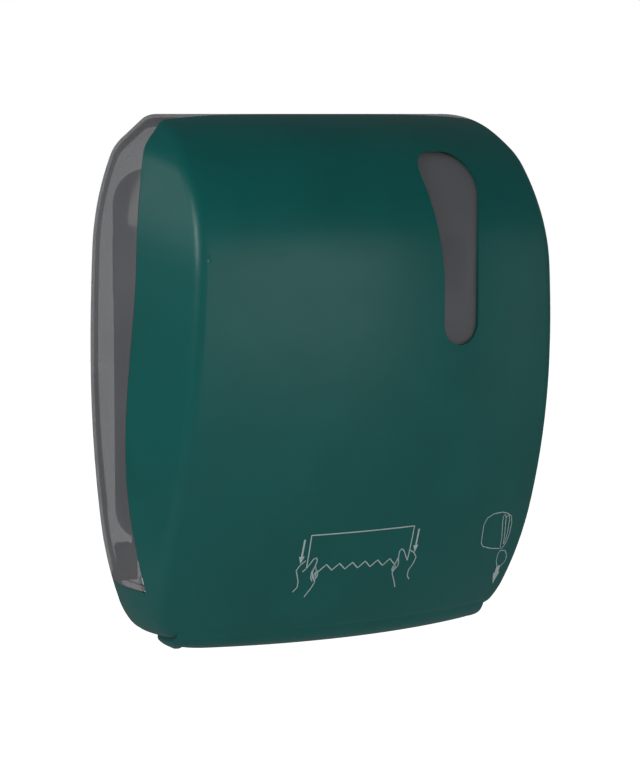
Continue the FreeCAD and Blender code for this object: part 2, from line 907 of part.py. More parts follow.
plate = new_body("back_plate")
half, top, bottom = S.plate_half_width, S.plate_top, S.plate_bottom
drawing = sketch(plate, "plate_outline", "XZ_Plane")
polygon(drawing, [(-half, -bottom), (half, -bottom), (half, top), (-half, top)])
pad(plate, "plate_block", drawing, S.plate_rim)
round_edges(plate, "plate_corners", Vector(0, 1, 0), S.plate_corner)
drawing = sketch(plate, "plate_tray_outline", "XZ_Plane", S.plate_wall)
inside, corner = half - S.plate_wall, S.plate_corner
low, high = S.plate_wall - bottom, top - S.plate_wall
polygon(drawing, [
    (-inside, low + corner), (corner - inside, low), (inside - corner, low), (inside, low + corner),
    (inside, high - corner), (inside - corner, high), (corner - inside, high), (-inside, high - corner),
])
pocket(plate, "plate_tray", drawing, S.plate_rim, reverse=True)
drawing = sketch(plate, "boss_outline", "XZ_Plane")
for x in (-S.wall_screw_x, S.wall_screw_x):
    for z in (-S.wall_screw_z, S.wall_screw_z):
        circle(drawing, x, z, S.wall_boss_radius)
pad(plate, "wall_bosses", drawing, S.wall_boss_depth)
drawing = sketch(plate, "rib_outline", "XZ_Plane")
rib = S.plate_rib
polygon(drawing, [
    (-1.5 * S.plate_rib_pitch, low), (rib - 1.5 * S.plate_rib_pitch, low),
    (rib - 1.5 * S.plate_rib_pitch, high), (-1.5 * S.plate_rib_pitch, high),
])
ribs = pad(plate, "plate_rib", drawing, S.plate_rib_depth)
pattern_along(plate, "plate_ribs", ribs, "X_Axis", 3 * S.plate_rib_pitch, 4)
drawing = sketch(plate, "wall_hole_outline", "XZ_Plane")
for x in (-S.wall_screw_x, S.wall_screw_x):
    for z in (-S.wall_screw_z, S.wall_screw_z):
        circle(drawing, x, z, S.wall_screw_radius)
pocket(plate, "wall_holes", drawing, S.wall_boss_depth, reverse=True)

def screw_holes(body, name, spots, depth_from, length, offset):
    drawing = sketch(body, name + "_outline", "XZ_Plane", offset)
    for x, z in spots:
        circle(drawing, x, z, S.screw_radius)
    return pocket(body, name, drawing, length, reverse=depth_from)


FRAME_SCREW_X = S.frame_x - S.frame_foot / 2
FRAME_SCREW_Z = (-50.0, -94.0)
ARM_SCREW_X = S.arm_x - S.arm_foot / 2
ARM_SCREW_Z = (S.roll_height - 10, S.roll_height + 10)
SCREW_SPOTS = [(side * FRAME_SCREW_X, z) for side in (1, -1) for z in FRAME_SCREW_Z]
SCREW_SPOTS += [(side * ARM_SCREW_X, z) for side in (1, -1) for z in ARM_SCREW_Z]
screw_holes(plate, "screw_holes", SCREW_SPOTS, True, S.plate_wall, 0.0)
node(plate, "back_plate")


# Side frames of the cutting unit, each a plate with a screwed foot

DRUM = (S.drum_depth, -1 * S.drum_drop)
HINGE = (S.hinge_depth, -1 * S.hinge_drop)
PINCH = (
    S.drum_depth + (S.drum_radius + S.ring_thickness + S.paper_gap + S.pinch_radius) * cosine(S.pinch_angle),
    (S.drum_radius + S.ring_thickness + S.paper_gap + S.pinch_radius) * sine(S.pinch_angle) - S.drum_drop,
)
PINCH_PIVOT = (
    PINCH[0] + S.pinch_arm * cosine(S.pinch_angle + 90),
    PINCH[1] + S.pinch_arm * sine(S.pinch_angle + 90),
)


def side_frame(label, side):
    """The plate lies outside frame_x; its foot turns inwards on the back plate."""
    frame = new_body(label)
    inner = S.frame_x if side > 0 else -1 * (S.frame_x + S.frame_wall)
    drawing = sketch(frame, label + "_outline", "YZ_Plane", inner)
    rear, front, top, bottom = S.plate_wall, S.frame_front, -S.frame_top, -S.frame_bottom
    depths = [
        (rear, top - 12), (rear, 56 + bottom), (9 + rear, 56 + bottom), (9 + rear, 32 + bottom),
        (14 + rear, 24 + bottom), (40.0, 10 + bottom),
        (70.0, bottom), (112.0, bottom), (front, 30 + bottom), (front, top - 42),
        (front - 10, top - 28), (60.0, top), (14.0, top),
    ]
    polygon(drawing, [(-1 * depth, height) for depth, height in depths])
    pad(frame, label + "_web", drawing, S.frame_wall)
    round_edges(frame, label + "_corners", Vector(1, 0, 0), S.frame_corner, lambda c: c.y < -20)
    drawing = sketch(frame, label + "_foot_outline", "XZ_Plane", S.plate_wall)
    xs = sorted((side * (S.frame_x - S.frame_foot), side * (S.frame_x + S.frame_wall)), key=float)
    low, high = FRAME_SCREW_Z[1] - 10, FRAME_SCREW_Z[0] + 10
    polygon(drawing, [(xs[0], low), (xs[1], low), (xs[1], high), (xs[0], high)])
    pad(frame, label + "_foot", drawing, S.frame_wall)
    spots = [(side * FRAME_SCREW_X, z) for z in FRAME_SCREW_Z]
    screw_holes(frame, label + "_screw_holes", spots, True, S.frame_wall, S.plate_wall)
    drawing = sketch(frame, label + "_bore_outline", "YZ_Plane", inner)
    circle(drawing, -1 * DRUM[0], DRUM[1], S.bush_radius)
    circle(drawing, -1 * HINGE[0], HINGE[1], S.hinge_pin_radius + S.running_clearance)
    circle(drawing, -1 * PINCH_PIVOT[0], PINCH_PIVOT[1], S.pinch_pivot_radius)
    pocket(frame, label + "_bores", drawing, S.frame_wall, reverse=True)
    return node(frame, label)


side_frame("right_side_frame", 1)
side_frame("left_side_frame", -1)


# Roll arms: channel-shaped brackets with a hub at the roll's axis


def roll_arm(side, name):
    def xs(inner, outer):
        return tuple(sorted((side * inner, side * outer), key=float))

    low, high = S.roll_height - S.arm_height / 2, S.roll_height + S.arm_height / 2
    wall, web = S.arm_wall, S.arm_x + S.arm_web
    rim = S.plate_rim + S.shell_gap
    parts = [
        box(name + "_web", xs(S.arm_x, web), (S.plate_wall, S.arm_front), (low, high)),
        box(name + "_upper_flange", xs(web, S.arm_outer), (rim, S.arm_front - 12), (high - wall, high)),
        box(name + "_lower_flange", xs(web, S.arm_outer), (rim, S.arm_front - 12), (low, low + wall)),
        box(name + "_root", xs(web, S.arm_outer), (rim, S.arm_root_depth), (low, high)),
        box(name + "_foot", xs(S.arm_x - S.arm_foot, S.arm_x), (S.plate_wall, 2 * S.plate_wall), (low, high)),
        rod(name + "_hub", xs(web, S.arm_hub_outer), S.roll_depth, S.roll_height, S.arm_hub_radius),
    ]
    clearance = S.running_clearance if side > 0 else 0.0
    tools = [
        box(name + "_root_hollow", xs(web, S.arm_outer - wall), (0.0 * rim, S.arm_root_depth - wall),
            (low + wall, high - wall)),
        rod(name + "_bore", xs(S.arm_x - 1, S.arm_outer + 1), S.roll_depth, S.roll_height,
            S.stub_radius + clearance),
    ]
    for i, z in enumerate(ARM_SCREW_Z):
        hole = dowel(f"{name}_screw_hole_{i}", side * ARM_SCREW_X, (0.0 * rim, 3 * S.plate_wall), z, S.screw_radius)
        tools.append(hole)
    return node(cut(name, fuse(name + "_blank", parts), tools), name)


roll_arm(1, "right_roll_arm")
roll_arm(-1, "left_roll_arm")
stub_xs = (-1 * S.arm_hub_outer, -1 * S.plug_inner_x)
node(rod("left_roll_stub", stub_xs, S.roll_depth, S.roll_height, S.stub_radius), "left_roll_stub")


# Round pieces, turned about their own axis and then laid along X


def turned_body(label, points, x, centre, mirror=False, angle=360.0, spin=0.0):
    """A body turned about its own axis through (radius, length) points, laid along X."""
    body = new_body(label)
    drawing = sketch(body, label + "_profile", "XZ_Plane")
    polygon(drawing, points)
    obj = body.newObject("PartDesign::Revolution", label + "_turned")
    obj.Profile = drawing
    obj.ReferenceAxis = (drawing, ["V_Axis"])
    obj.Angle = angle
    obj.Midplane = angle < 360
    lay(body, x, centre, mirror, spin)
    return body


def lay(body, x, centre, mirror=False, spin=0.0):
    """Turns a body's own Z axis onto X, or onto -X where it is mirrored, and sets its centre."""
    tilt = Rotation(Vector(0, 1, 0), -90 if mirror else 90)
    body.Placement = Placement(Vector(), Rotation(Vector(1, 0, 0), spin) * tilt)
    place(body, x, -1 * centre[0], centre[1])


ROLL = (S.roll_depth, S.roll_height)
clear = S.running_clearance


def core_plug(label, x, mirror):
    bore, sleeve = S.stub_radius + clear, S.plug_sleeve
    length, flange = S.plug_length, S.plug_flange
    points = [
        (bore, 0.0), (S.plug_radius - 1, 0.0), (S.plug_radius, 2.0), (S.plug_radius, length),
        (S.plug_flange_radius, length), (S.plug_flange_radius, length + flange),
        (S.plug_radius - sleeve, length + flange), (S.plug_radius - sleeve, sleeve),
        (bore + sleeve, sleeve), (bore + sleeve, length + flange), (bore, length + flange),
    ]
    return node(turned_body(label, points, x, ROLL, mirror), label)


core_plug("right_core_plug", S.plug_inner_x, False)
core_plug("left_core_plug", -1 * S.plug_inner_x, True)
head, stem = S.plunger_head_radius, S.stub_radius
plunger_end = S.arm_hub_outer - S.plug_inner_x
slack, clip = S.shell_gap, S.plunger_clip
plunger = turned_body("plunger", [
    (0.0, -1 * S.plug_sleeve), (head - 1, -1 * S.plug_sleeve), (head, -1 * slack - 0.7), (head, -1 * slack),
    (stem, -1 * slack), (stem, plunger_end + slack), (head - 1, plunger_end + slack),
    (head - 1, plunger_end + slack + clip), (0.0, plunger_end + slack + clip),
], S.plug_inner_x, ROLL)
node(plunger, "plunger")


# Cutting drum: two half shells on a shaft, one of them slotted for the knife

DRUM_SPIN = float(S.slot_angle) - 90
length = 2 * S.drum_half_length


def drum_half(label, webs, spin):
    outer, inner = S.drum_radius, S.drum_radius - S.drum_wall
    hub, end = S.drum_hub_radius, S.drum_end_wall
    points = [(S.shaft_radius, 0.0), (outer, 0.0), (outer, length), (S.shaft_radius, length)]
    points += [(S.shaft_radius, length - end), (inner, length - end)]
    for i in range(webs, 0, -1):
        middle = length * i / (webs + 1)
        points += [(inner, middle + 1), (S.shaft_radius, middle + 1)]
        points += [(S.shaft_radius, middle - 1), (inner, middle - 1)]
    points += [(inner, end), (S.shaft_radius, end)]
    return turned_body(label, points, -1 * S.drum_half_length, DRUM, angle=180.0, spin=spin)


node(drum_half("drum_half_plain", 3, DRUM_SPIN + 180), "drum_half_plain")
slotted = drum_half("drum_half_slotted", 0, DRUM_SPIN)
drawing = sketch(slotted, "knife_slot_outline", "YZ_Plane")
inset = S.drum_half_length - S.slot_half_length
polygon(drawing, [
    (-1 * S.slot_front, inset), (S.slot_back, inset), (S.slot_back, length - inset),
    (-1 * S.slot_front, length - inset),
])
pocket(slotted, "knife_slot", drawing, 2 * S.drum_radius, reverse=True)
drawing = sketch(slotted, "knife_bore_outline", "XY_Plane")
circle(drawing, S.knife_pivot_radial, S.knife_pivot_back, S.knife_pivot_radius + clear)
pocket(slotted, "knife_bore", drawing, length, reverse=True)
node(slotted, "drum_half_slotted")
drum_local = Placement(Vector(), Rotation(Vector(1, 0, 0), DRUM_SPIN) * Rotation(Vector(0, 1, 0), 90))


def in_drum(obj, x):
    """Lays an object drawn in the drum's own directions onto the drum's axis."""
    obj.Placement = Placement(Vector(), drum_local.Rotation)
    place(obj, x, -1 * DRUM[0], DRUM[1])


def grip_rings():
    rings = []
    for i, x in enumerate((-S.ring_outer_x, -S.ring_inner_x, S.ring_inner_x, S.ring_outer_x)):
        xs = (x - S.ring_width / 2, x + S.ring_width / 2)
        outer = rod(f"ring_{i}_outer", xs, DRUM[0], DRUM[1], S.drum_radius + S.ring_thickness)
        inner = rod(f"ring_{i}_inner", xs, DRUM[0], DRUM[1], S.drum_radius)
        gap = doc.addObject("Part::Box", f"ring_{i}_gap")
        bind(gap, "Length", 2 * S.drum_radius)
        bind(gap, "Width", S.slot_front + S.slot_back + 2)
        bind(gap, "Height", S.ring_width)
        offset = drum_local.Rotation.multVec(Vector(0, -float(S.slot_front) - 1, 0))
        gap.Placement = Placement(Vector(), drum_local.Rotation)
        place(gap, xs[0], offset.y - 1 * DRUM[0], DRUM[1] + offset.z)
        rings.append(cut(f"ring_{i}", outer, [inner, gap]))
    return node(group("grip_rings", rings), "grip_rings")


grip_rings()
left_end = S.frame_x + S.frame_wall + S.bush_flange + S.crank_gap + S.crank_thickness
right_end = left_end + S.crank_gap + S.lever_thickness + 1
node(rod("drum_shaft", (-1 * left_end, right_end), DRUM[0], DRUM[1], S.shaft_radius), "drum_shaft")


def bush(name, side):
    inner, outer = S.frame_x, S.frame_x + S.frame_wall
    body_xs = tuple(sorted((side * inner, side * (outer + S.bush_flange)), key=float))
    flange_xs = tuple(sorted((side * outer, side * (outer + S.bush_flange)), key=float))
    body = rod(name + "_sleeve", body_xs, DRUM[0], DRUM[1], S.bush_radius)
    flange = rod(name + "_flange", flange_xs, DRUM[0], DRUM[1], S.bush_flange_radius)
    bore = rod(name + "_bore", body_xs, DRUM[0], DRUM[1], S.shaft_radius + clear)
    return cut(name, fuse(name + "_blank", [body, flange]), [bore])


node(group("drum_bushes", [bush("right_bush", 1), bush("left_bush", -1)]), "drum_bushes")


# Knife: a carrier on a shaft through the drum's ends, a toothed blade and two follower arms

PIVOT = (S.knife_pivot_radial, S.knife_pivot_back)
rest = S.knife_rest_angle - 90
along = (cosine(rest), sine(rest))
outward = (-1 * sine(rest), cosine(rest))


def knife_point(forward, out):
    """A point of the knife's section: forward along the blade from the pivot, and out from it."""
    return (
        PIVOT[0] + forward * along[0] + out * outward[0],
        PIVOT[1] + forward * along[1] + out * outward[1],
    )


carrier = new_body("knife_carrier")
drawing = sketch(carrier, "carrier_outline", "XY_Plane")
half = S.carrier_thickness / 2
polygon(drawing, [
    knife_point(-1 * half, -1 * half), knife_point(S.carrier_length, -1 * half),
    knife_point(S.carrier_length, half - 1), knife_point(S.carrier_length - 1, half), knife_point(-1 * half, half),
])
pad(carrier, "carrier_bar", drawing, 2 * S.carrier_half_length, both=True)
drawing = sketch(carrier, "knife_shaft_outline", "XY_Plane")
circle(drawing, PIVOT[0], PIVOT[1], S.knife_pivot_radius)
knife_shaft_half = S.drum_half_length + S.knife_arm_gap + S.knife_arm_thickness
pad(carrier, "knife_shaft", drawing, 2 * knife_shaft_half, both=True)
in_drum(carrier, 0.0)
node(carrier, "knife_carrier")


def knife_blade():
    """A strip under the carrier whose free edge is a row of pointed teeth."""
    low, reach = -float(half) - float(S.blade_thickness), float(S.knife_reach)
    pitch, depth, end = float(S.tooth_pitch), float(S.tooth_depth), float(S.blade_half_length)
    count = int(2 * end // pitch)
    start = -pitch * count / 2
    outline = [(0.0, -end), (reach - depth, -end), (reach - depth, start)]
    for i in range(count):
        outline += [(reach, start + (i + 0.5) * pitch), (reach - depth, start + (i + 1) * pitch)]
    outline += [(reach - depth, end), (0.0, end)]
    points = []
    for forward, length_way in outline:
        x, y = (float(v) for v in knife_point(forward, low))
        points.append(Vector(x, y, length_way))
    out = Vector(float(outward[0]), float(outward[1]), 0) * float(S.blade_thickness)
    obj = doc.addObject("Part::Feature", "knife_blade")
    obj.Shape = Part.Face(Part.makePolygon(points + points[:1])).extrude(out)
    in_drum(obj, 0.0)
    return node(obj, "knife_blade")


knife_blade()


def follower_arms():
    arms = []
    out = S.follower_out
    reach = math.sqrt(float(PIVOT[0]) ** 2 + float(PIVOT[1]) ** 2 - float(out) ** 2)
    direction = math.atan2(float(PIVOT[1]), float(PIVOT[0]))
    turn = direction - math.acos(float(out) / math.hypot(float(PIVOT[0]), float(PIVOT[1])))
    tip = Vector(float(out) * math.cos(turn), float(out) * math.sin(turn), 0)
    pivot = Vector(float(PIVOT[0]), float(PIVOT[1]), 0)
    line = (tip - pivot).normalize()
    across = Vector(-line.y, line.x, 0)
    pin, hub = float(S.follower_radius), float(S.knife_pivot_radius) + 1.5
    thick, gap = float(S.knife_arm_thickness), float(S.knife_arm_gap)
    inner = float(S.drum_half_length) + gap
    rail = float(S.rail_thickness)
    for side in (1, -1):
        low = inner if side > 0 else -inner - thick
        corners = [pivot + across * hub, pivot - across * hub, tip - across * (pin + 1), tip + across * (pin + 1)]
        plate_face = Part.Face(Part.makePolygon(corners + corners[:1]))
        arm = plate_face.extrude(Vector(0, 0, thick))
        arm = arm.fuse([Part.makeCylinder(hub, thick, pivot), Part.makeCylinder(pin + 1, thick, tip)])
        arm = arm.cut(Part.makeCylinder(float(S.knife_pivot_radius), thick, pivot))
        arm.translate(Vector(0, 0, low))
        start = inner + thick if side > 0 else -inner - thick - rail
        arm = arm.fuse(Part.makeCylinder(pin, rail, tip + Vector(0, 0, start))).removeSplitter()
        arms.append(arm)
    obj = doc.addObject("Part::Feature", "follower_arms")
    obj.Shape = Part.makeCompound(arms)
    in_drum(obj, 0.0)
    return node(obj, "follower_arms")


follower_arms()


def knife_cams():
    """Two fixed rails that push the followers in before the slot comes to the pinch roller."""
    radius = float(S.follower_out + S.follower_radius + S.rail_gap)
    wall, thick = float(S.rail_wall), float(S.rail_thickness)
    start, end, mouth = float(S.rail_start), float(S.rail_end), float(S.rail_mouth)

    def spot(out, turn):
        return Vector(*polar(out, turn), 0)

    middle, flare = (start + end) / 2, (start + mouth) / 2
    mouth_in, flare_in = float(S.rail_mouth_out), (radius + float(S.rail_mouth_out)) / 2 - 2
    inner = [
        arc(spot(radius, end), spot(radius, middle), spot(radius, start)),
        arc(spot(radius, start), spot(flare_in, flare), spot(mouth_in, mouth)),
    ]
    outer = [
        arc(spot(mouth_in + wall, mouth), spot(flare_in + wall, flare), spot(radius + wall, start)),
        arc(spot(radius + wall, start), spot(radius + wall, middle), spot(radius + wall, end)),
    ]
    edges = [*inner, Part.makeLine(spot(mouth_in, mouth), spot(mouth_in + wall, mouth)), *outer]
    edges.append(Part.makeLine(spot(radius + wall, end), spot(radius, end)))
    rail = Part.Face(Part.Wire(edges)).extrude(Vector(0, 0, thick))
    right, left = rail.copy(), rail.copy()
    right.translate(Vector(0, 0, float(S.frame_x) - thick))
    left.translate(Vector(0, 0, -float(S.frame_x)))
    obj = doc.addObject("Part::Feature", "knife_cams")
    obj.Shape = Part.makeCompound([right, left])
    in_drum(obj, 0.0)
    return node(obj, "knife_cams")


knife_cams()


# Pinch roller on a sprung carriage

PINCH_XS = (-S.pinch_half_length, S.pinch_half_length)
roller = rod("pinch_roller_blank", PINCH_XS, PINCH[0], PINCH[1], S.pinch_radius)
core = rod("pinch_roller_bore", PINCH_XS, PINCH[0], PINCH[1], S.pinch_shaft_radius)
node(cut("pinch_roller", roller, [core]), "pinch_roller")
carriage_out = S.pinch_half_length + 1 + S.carriage_wall
node(rod("pinch_shaft", (-carriage_out, carriage_out), PINCH[0], PINCH[1], S.pinch_shaft_radius), "pinch_shaft")
pivot_xs = (-1 * (S.frame_x + S.frame_wall), S.frame_x + S.frame_wall)
node(rod("pinch_pivot", pivot_xs, *PINCH_PIVOT, S.pinch_pivot_radius), "pinch_pivot")


def pinch_carriage():
    """Two arms joined by a tube round the pivot."""
    wall, inner = float(S.carriage_wall), float(S.pinch_half_length) + 1
    a = Vector(0, -float(PINCH[0]), float(PINCH[1]))
    b = Vector(0, -float(PINCH_PIVOT[0]), float(PINCH_PIVOT[1]))
    line = (b - a).normalize()
    across = Vector(0, -line.z, line.y)
    eye, boss_radius = float(S.pinch_shaft_radius) + 3, float(S.pinch_pivot_radius) + 2.5
    axis = Vector(1, 0, 0)
    tube = Part.makeCylinder(boss_radius, 2 * (inner + wall), b - axis * (inner + wall), axis)
    shape = tube
    for start in (-inner - wall, inner):
        shift = axis * start
        corners = [a + across * eye, a - across * eye, b - across * boss_radius, b + across * boss_radius]
        arm = Part.Face(Part.makePolygon([c + shift for c in corners + corners[:1]])).extrude(axis * wall)
        shape = shape.fuse([arm, Part.makeCylinder(eye, wall, a + shift, axis)])
    clearance = float(S.running_clearance)
    reach = 2 * inner + 4 * wall
    shape = shape.cut(Part.makeCylinder(float(S.pinch_shaft_radius) + clearance, reach, a - axis * reach / 2, axis))
    shape = shape.cut(Part.makeCylinder(float(S.pinch_pivot_radius) + clearance, reach, b - axis * reach / 2, axis))
    return shaped("pinch_carriage", shape.removeSplitter())


pinch_carriage()


# Paper guides: a curved sheet in front of the drum and a comb that lifts the paper off it

GUIDE_XS = (-S.guide_half_length, S.guide_half_length)


def exit_guide():
    radius = float(S.drum_radius + S.guide_gap)
    wall, half = float(S.guide_wall), float(S.guide_half_length)
    centre = (float(DRUM[0]), float(DRUM[1]))
    start, end = 12.0, -40.0
    outer, a0, a1 = profile_arc(centre, radius + wall, start, end)
    inner, b0, b1 = profile_arc(centre, radius, end, start)
    low, front = -float(S.chute_bottom), float(S.chute_front_depth)
    foot_out, foot_in = Vector(0, -front - wall, low), Vector(0, -front, low)
    edges = [outer, Part.makeLine(a1, foot_out), Part.makeLine(foot_out, foot_in)]
    edges += [Part.makeLine(foot_in, b0), inner, Part.makeLine(b1, a0)]
    face = Part.Face(Part.Wire(edges))
    face.translate(Vector(-half, 0, 0))
    return shaped("exit_guide", face.extrude(Vector(2 * half, 0, 0)))


def stripper_comb():
    """A rear chute wall whose upper edge is cut into fingers."""
    wall, half, pitch = float(S.guide_wall), float(S.guide_half_length), float(S.finger_pitch)
    low, rear = -float(S.chute_bottom), float(S.chute_rear_depth)
    radius = float(S.drum_radius + S.guide_gap)
    top = Vector(0, -float(DRUM[0]) + 6, float(DRUM[1]) - radius)
    foot = Vector(0, -rear, low)
    back = Vector(0, wall, 0)
    face = Part.Face(Part.makePolygon([foot, top, top + back, foot + back, foot]))
    face.translate(Vector(-half, 0, 0))
    sheet_shape = face.extrude(Vector(2 * half, 0, 0))
    count = int(2 * half // pitch)
    first = -pitch * (count - 1) / 2
    for i in range(count):
        gap = Part.makeBox(pitch / 2, 60, 14, Vector(first + (i - 0.25) * pitch, top.y - 20, top.z - 12))
        sheet_shape = sheet_shape.cut(gap)
    return shaped("stripper_comb", sheet_shape.removeSplitter())


exit_guide()
stripper_comb()
node(rod("guide_bar", GUIDE_XS, S.drum_depth + 12, S.guide_bar_height, S.guide_bar_radius), "guide_bar")


# Crank, its spring and their guard, outside the left frame

CRANK_X = S.frame_x + S.frame_wall + S.bush_flange + S.crank_gap
post_away = (S.spring_post_depth - S.drum_depth, S.drum_drop - S.spring_post_drop)
to_post = math.atan2(float(post_away[1]), float(post_away[0]))
crank_pin = (
    S.drum_depth + S.crank_pin_out * math.cos(to_post),
    S.crank_pin_out * math.sin(to_post) - S.drum_drop,
)
crank_xs = (-1 * (CRANK_X + S.crank_thickness), -1 * CRANK_X)
disc = rod("crank_blank", crank_xs, DRUM[0], DRUM[1], S.crank_radius)
crank_bore = rod("crank_bore", crank_xs, DRUM[0], DRUM[1], S.shaft_radius)
pin_hole = rod("crank_pin_hole", crank_xs, *crank_pin, S.crank_pin_radius)
node(cut("crank_disc", disc, [crank_bore, pin_hole]), "crank_disc")
pin_end = CRANK_X + S.crank_thickness + S.crank_pin_length
node(rod("crank_pin", (-1 * pin_end, -1 * CRANK_X), *crank_pin, S.crank_pin_radius), "crank_pin")
POST = (S.spring_post_depth, -1 * S.spring_post_drop)
post_xs = (-1 * pin_end, -1 * (S.frame_x + S.frame_wall))
node(rod("spring_post", post_xs, *POST, S.spring_post_radius), "spring_post")


def coil(start, direction, radius, wire, turns, rise, name):
    """A round-wire coil on quarter-turn arcs, from a start point along a direction."""
    side = Vector(1, 0, 0) if abs(direction.x) < 0.5 else Vector(0, 1, 0)
    other = direction.cross(side)
    quarters = int(round(turns * 4))
    steps = 2 * quarters

    def at(step):
        angle = math.pi / 4 * step
        spoke = side * math.cos(angle) + other * math.sin(angle)
        return start + spoke * radius + direction * (rise * step / steps)

    edges = [arc(at(2 * i), at(2 * i + 1), at(2 * i + 2)) for i in range(quarters)]
    path = Part.Wire(edges)
    tangent = edges[0].tangentAt(edges[0].FirstParameter)
    section = Part.Wire(Part.Circle(at(0), tangent, wire / 2).toShape())
    shape = path.makePipeShell([section], True, False)
    gap = rise / turns - wire
    print(f"{name}: least gap between turns {gap:.2f} mm")
    return shape


def main_spring():
    """The spring that carries the drum over the cut, hooked on the post and the crank pin."""
    x = -float(CRANK_X + S.crank_thickness + S.crank_pin_length / 2)
    a = Vector(x, -float(POST[0]), float(POST[1]))
    b = Vector(x, -float(crank_pin[0]), float(crank_pin[1]))
    line = (b - a).normalize()
    wire, radius = float(S.spring_wire), float(S.spring_radius)
    hook = 8.0
    rise = (b - a).Length - 2 * hook
    return shaped("main_spring", coil(a + line * hook, line, radius, wire, float(S.spring_turns), rise, "main spring"))


main_spring()


def plunger_spring():
    x0 = float(S.plug_inner_x + S.plug_sleeve) + float(S.plunger_spring_wire) / 2 + 0.1
    x1 = float(S.arm_x) - float(S.plunger_spring_wire) / 2 - 0.1
    start = Vector(x0, -float(S.roll_depth), float(S.roll_height))
    wire = float(S.plunger_spring_wire)
    turns = float(S.plunger_spring_turns)
    radius = float(S.plunger_spring_radius)
    return shaped("plunger_spring", coil(start, Vector(1, 0, 0), radius, wire, turns, x1 - x0, "plunger spring"))


plunger_spring()


def mechanism_guard():
    """A lid over the crank and spring: a flat outer wall with a rim down to the frame."""
    outer, inner = float(S.guard_outer), float(S.frame_x + S.frame_wall)
    wall = float(S.guard_wall)
    front, top = float(S.frame_front) - 3, -float(S.frame_top) - 2
    drum_d, drum_z = float(DRUM[0]), float(DRUM[1])
    room = float(S.crank_radius) + 4
    points = [
        (float(POST[0]) - 14, top - 2), (60.0, top), (front - 7, top - 28), (front, top - 40),
        (front, drum_z - room), (front - 13, drum_z - room - 8), (drum_d - 8, drum_z - room - 8),
        (drum_d - room, drum_z - 8), (float(POST[0]) - 14, POST[1].value - 17),
    ]
    wire = Part.makePolygon([Vector(-inner, -d, z) for d, z in points + points[:1]])
    face = Part.Face(wire)
    inside = face.makeOffset2D(-wall)
    lid = face.extrude(Vector(inner - outer, 0, 0))
    room_inside = inside.extrude(Vector(inner - outer + wall, 0, 0))
    return shaped("mechanism_guard", lid.cut(room_inside))


mechanism_guard()


# Ratchet wheel, feed lever and pawls, outside the right frame

RATCHET_XS = (CRANK_X, CRANK_X + S.ratchet_thickness)
TEETH = int(float(S.ratchet_teeth))
PITCH = 360 / TEETH


def ratchet_wheel():
    """A saw-toothed wheel that can only turn so that the drum's front goes down."""
    wheel = new_body("ratchet_wheel")
    drawing = sketch(wheel, "ratchet_blank", "XY_Plane")
    circle(drawing, 0.0 * S.ratchet_radius, 0.0 * S.ratchet_radius, S.ratchet_radius)
    pad(wheel, "ratchet_disc", drawing, S.ratchet_thickness)
    drawing = sketch(wheel, "tooth_space", "XY_Plane")
    root, tip = S.ratchet_radius - S.ratchet_tooth, S.ratchet_radius + 1
    last = PITCH * -0.92
    polygon(drawing, [
        (S.ratchet_radius * cosine(last), S.ratchet_radius * sine(last)),
        (tip * cosine(last), tip * sine(last)), (tip * cosine(last * 0.5), tip * sine(last * 0.5)),
        (tip, 0.0 * root), (root, 0.0 * root),
    ])
    first = pocket(wheel, "tooth_gap", drawing, S.ratchet_thickness, reverse=True)
    turn = wheel.newObject("PartDesign::PolarPattern", "ratchet_teeth")
    turn.Originals = [first]
    axis = next(item for item in wheel.Origin.OriginFeatures if item.Role == "Z_Axis")
    turn.Axis = (axis, [""])
    turn.Angle = 360.0
    turn.Occurrences = TEETH
    wheel.Tip = turn
    drawing = sketch(wheel, "ratchet_bore", "XY_Plane")
    circle(drawing, 0.0 * root, 0.0 * root, S.shaft_radius)
    pocket(wheel, "ratchet_hole", drawing, S.ratchet_thickness, reverse=True)
    lay(wheel, CRANK_X, DRUM)
    return node(wheel, "ratchet_wheel")


ratchet_wheel()
LEVER_X = CRANK_X + S.ratchet_thickness + S.crank_gap
TIP = (S.lever_tip_depth, -1 * S.lever_tip_drop)
lever_run = (float(TIP[0] - DRUM[0]), float(TIP[1] - DRUM[1]))
lever_long = math.hypot(*lever_run)
lever_way = (lever_run[0] / lever_long, lever_run[1] / lever_long)


def lever_spot(out, across):
    """A depth and height: out from the drum's axis along the lever, and across it to the front."""
    return (
        float(DRUM[0]) + out * lever_way[0] - across * lever_way[1],
        float(DRUM[1]) + out * lever_way[1] + across * lever_way[0],
    )


DRUM_SPOT = (float(DRUM[0]), float(DRUM[1]))


def round_wheel(radius, turn):
    """A depth and height on the ratchet, turned from straight down towards the wall."""
    angle = math.radians(turn)
    return DRUM_SPOT[0] - radius * math.sin(angle), DRUM_SPOT[1] - radius * math.cos(angle)


PAWL_OUT, PAWL_REACH = float(S.pawl_pivot_out), float(S.pawl_reach)
TOOTH_SEAT = float(S.ratchet_radius) - float(S.ratchet_tooth) + float(S.pawl_seat_rise)
FEED_PAWL_PIVOT = round_wheel(PAWL_OUT, 0.0)
BACK_PAWL_PIVOT = round_wheel(PAWL_OUT, 180 - float(S.back_pawl_angle))


def flat(points, x, thickness):
    """A flat plate through (depth, height) points, from x outwards."""
    wire = Part.makePolygon([Vector(x, -d, z) for d, z in points + points[:1]])
    return Part.Face(wire).extrude(Vector(thickness, 0, 0))


def disc_at(spot, radius, x, thickness):
    return Part.makeCylinder(radius, thickness, Vector(x, -spot[0], spot[1]), Vector(1, 0, 0))


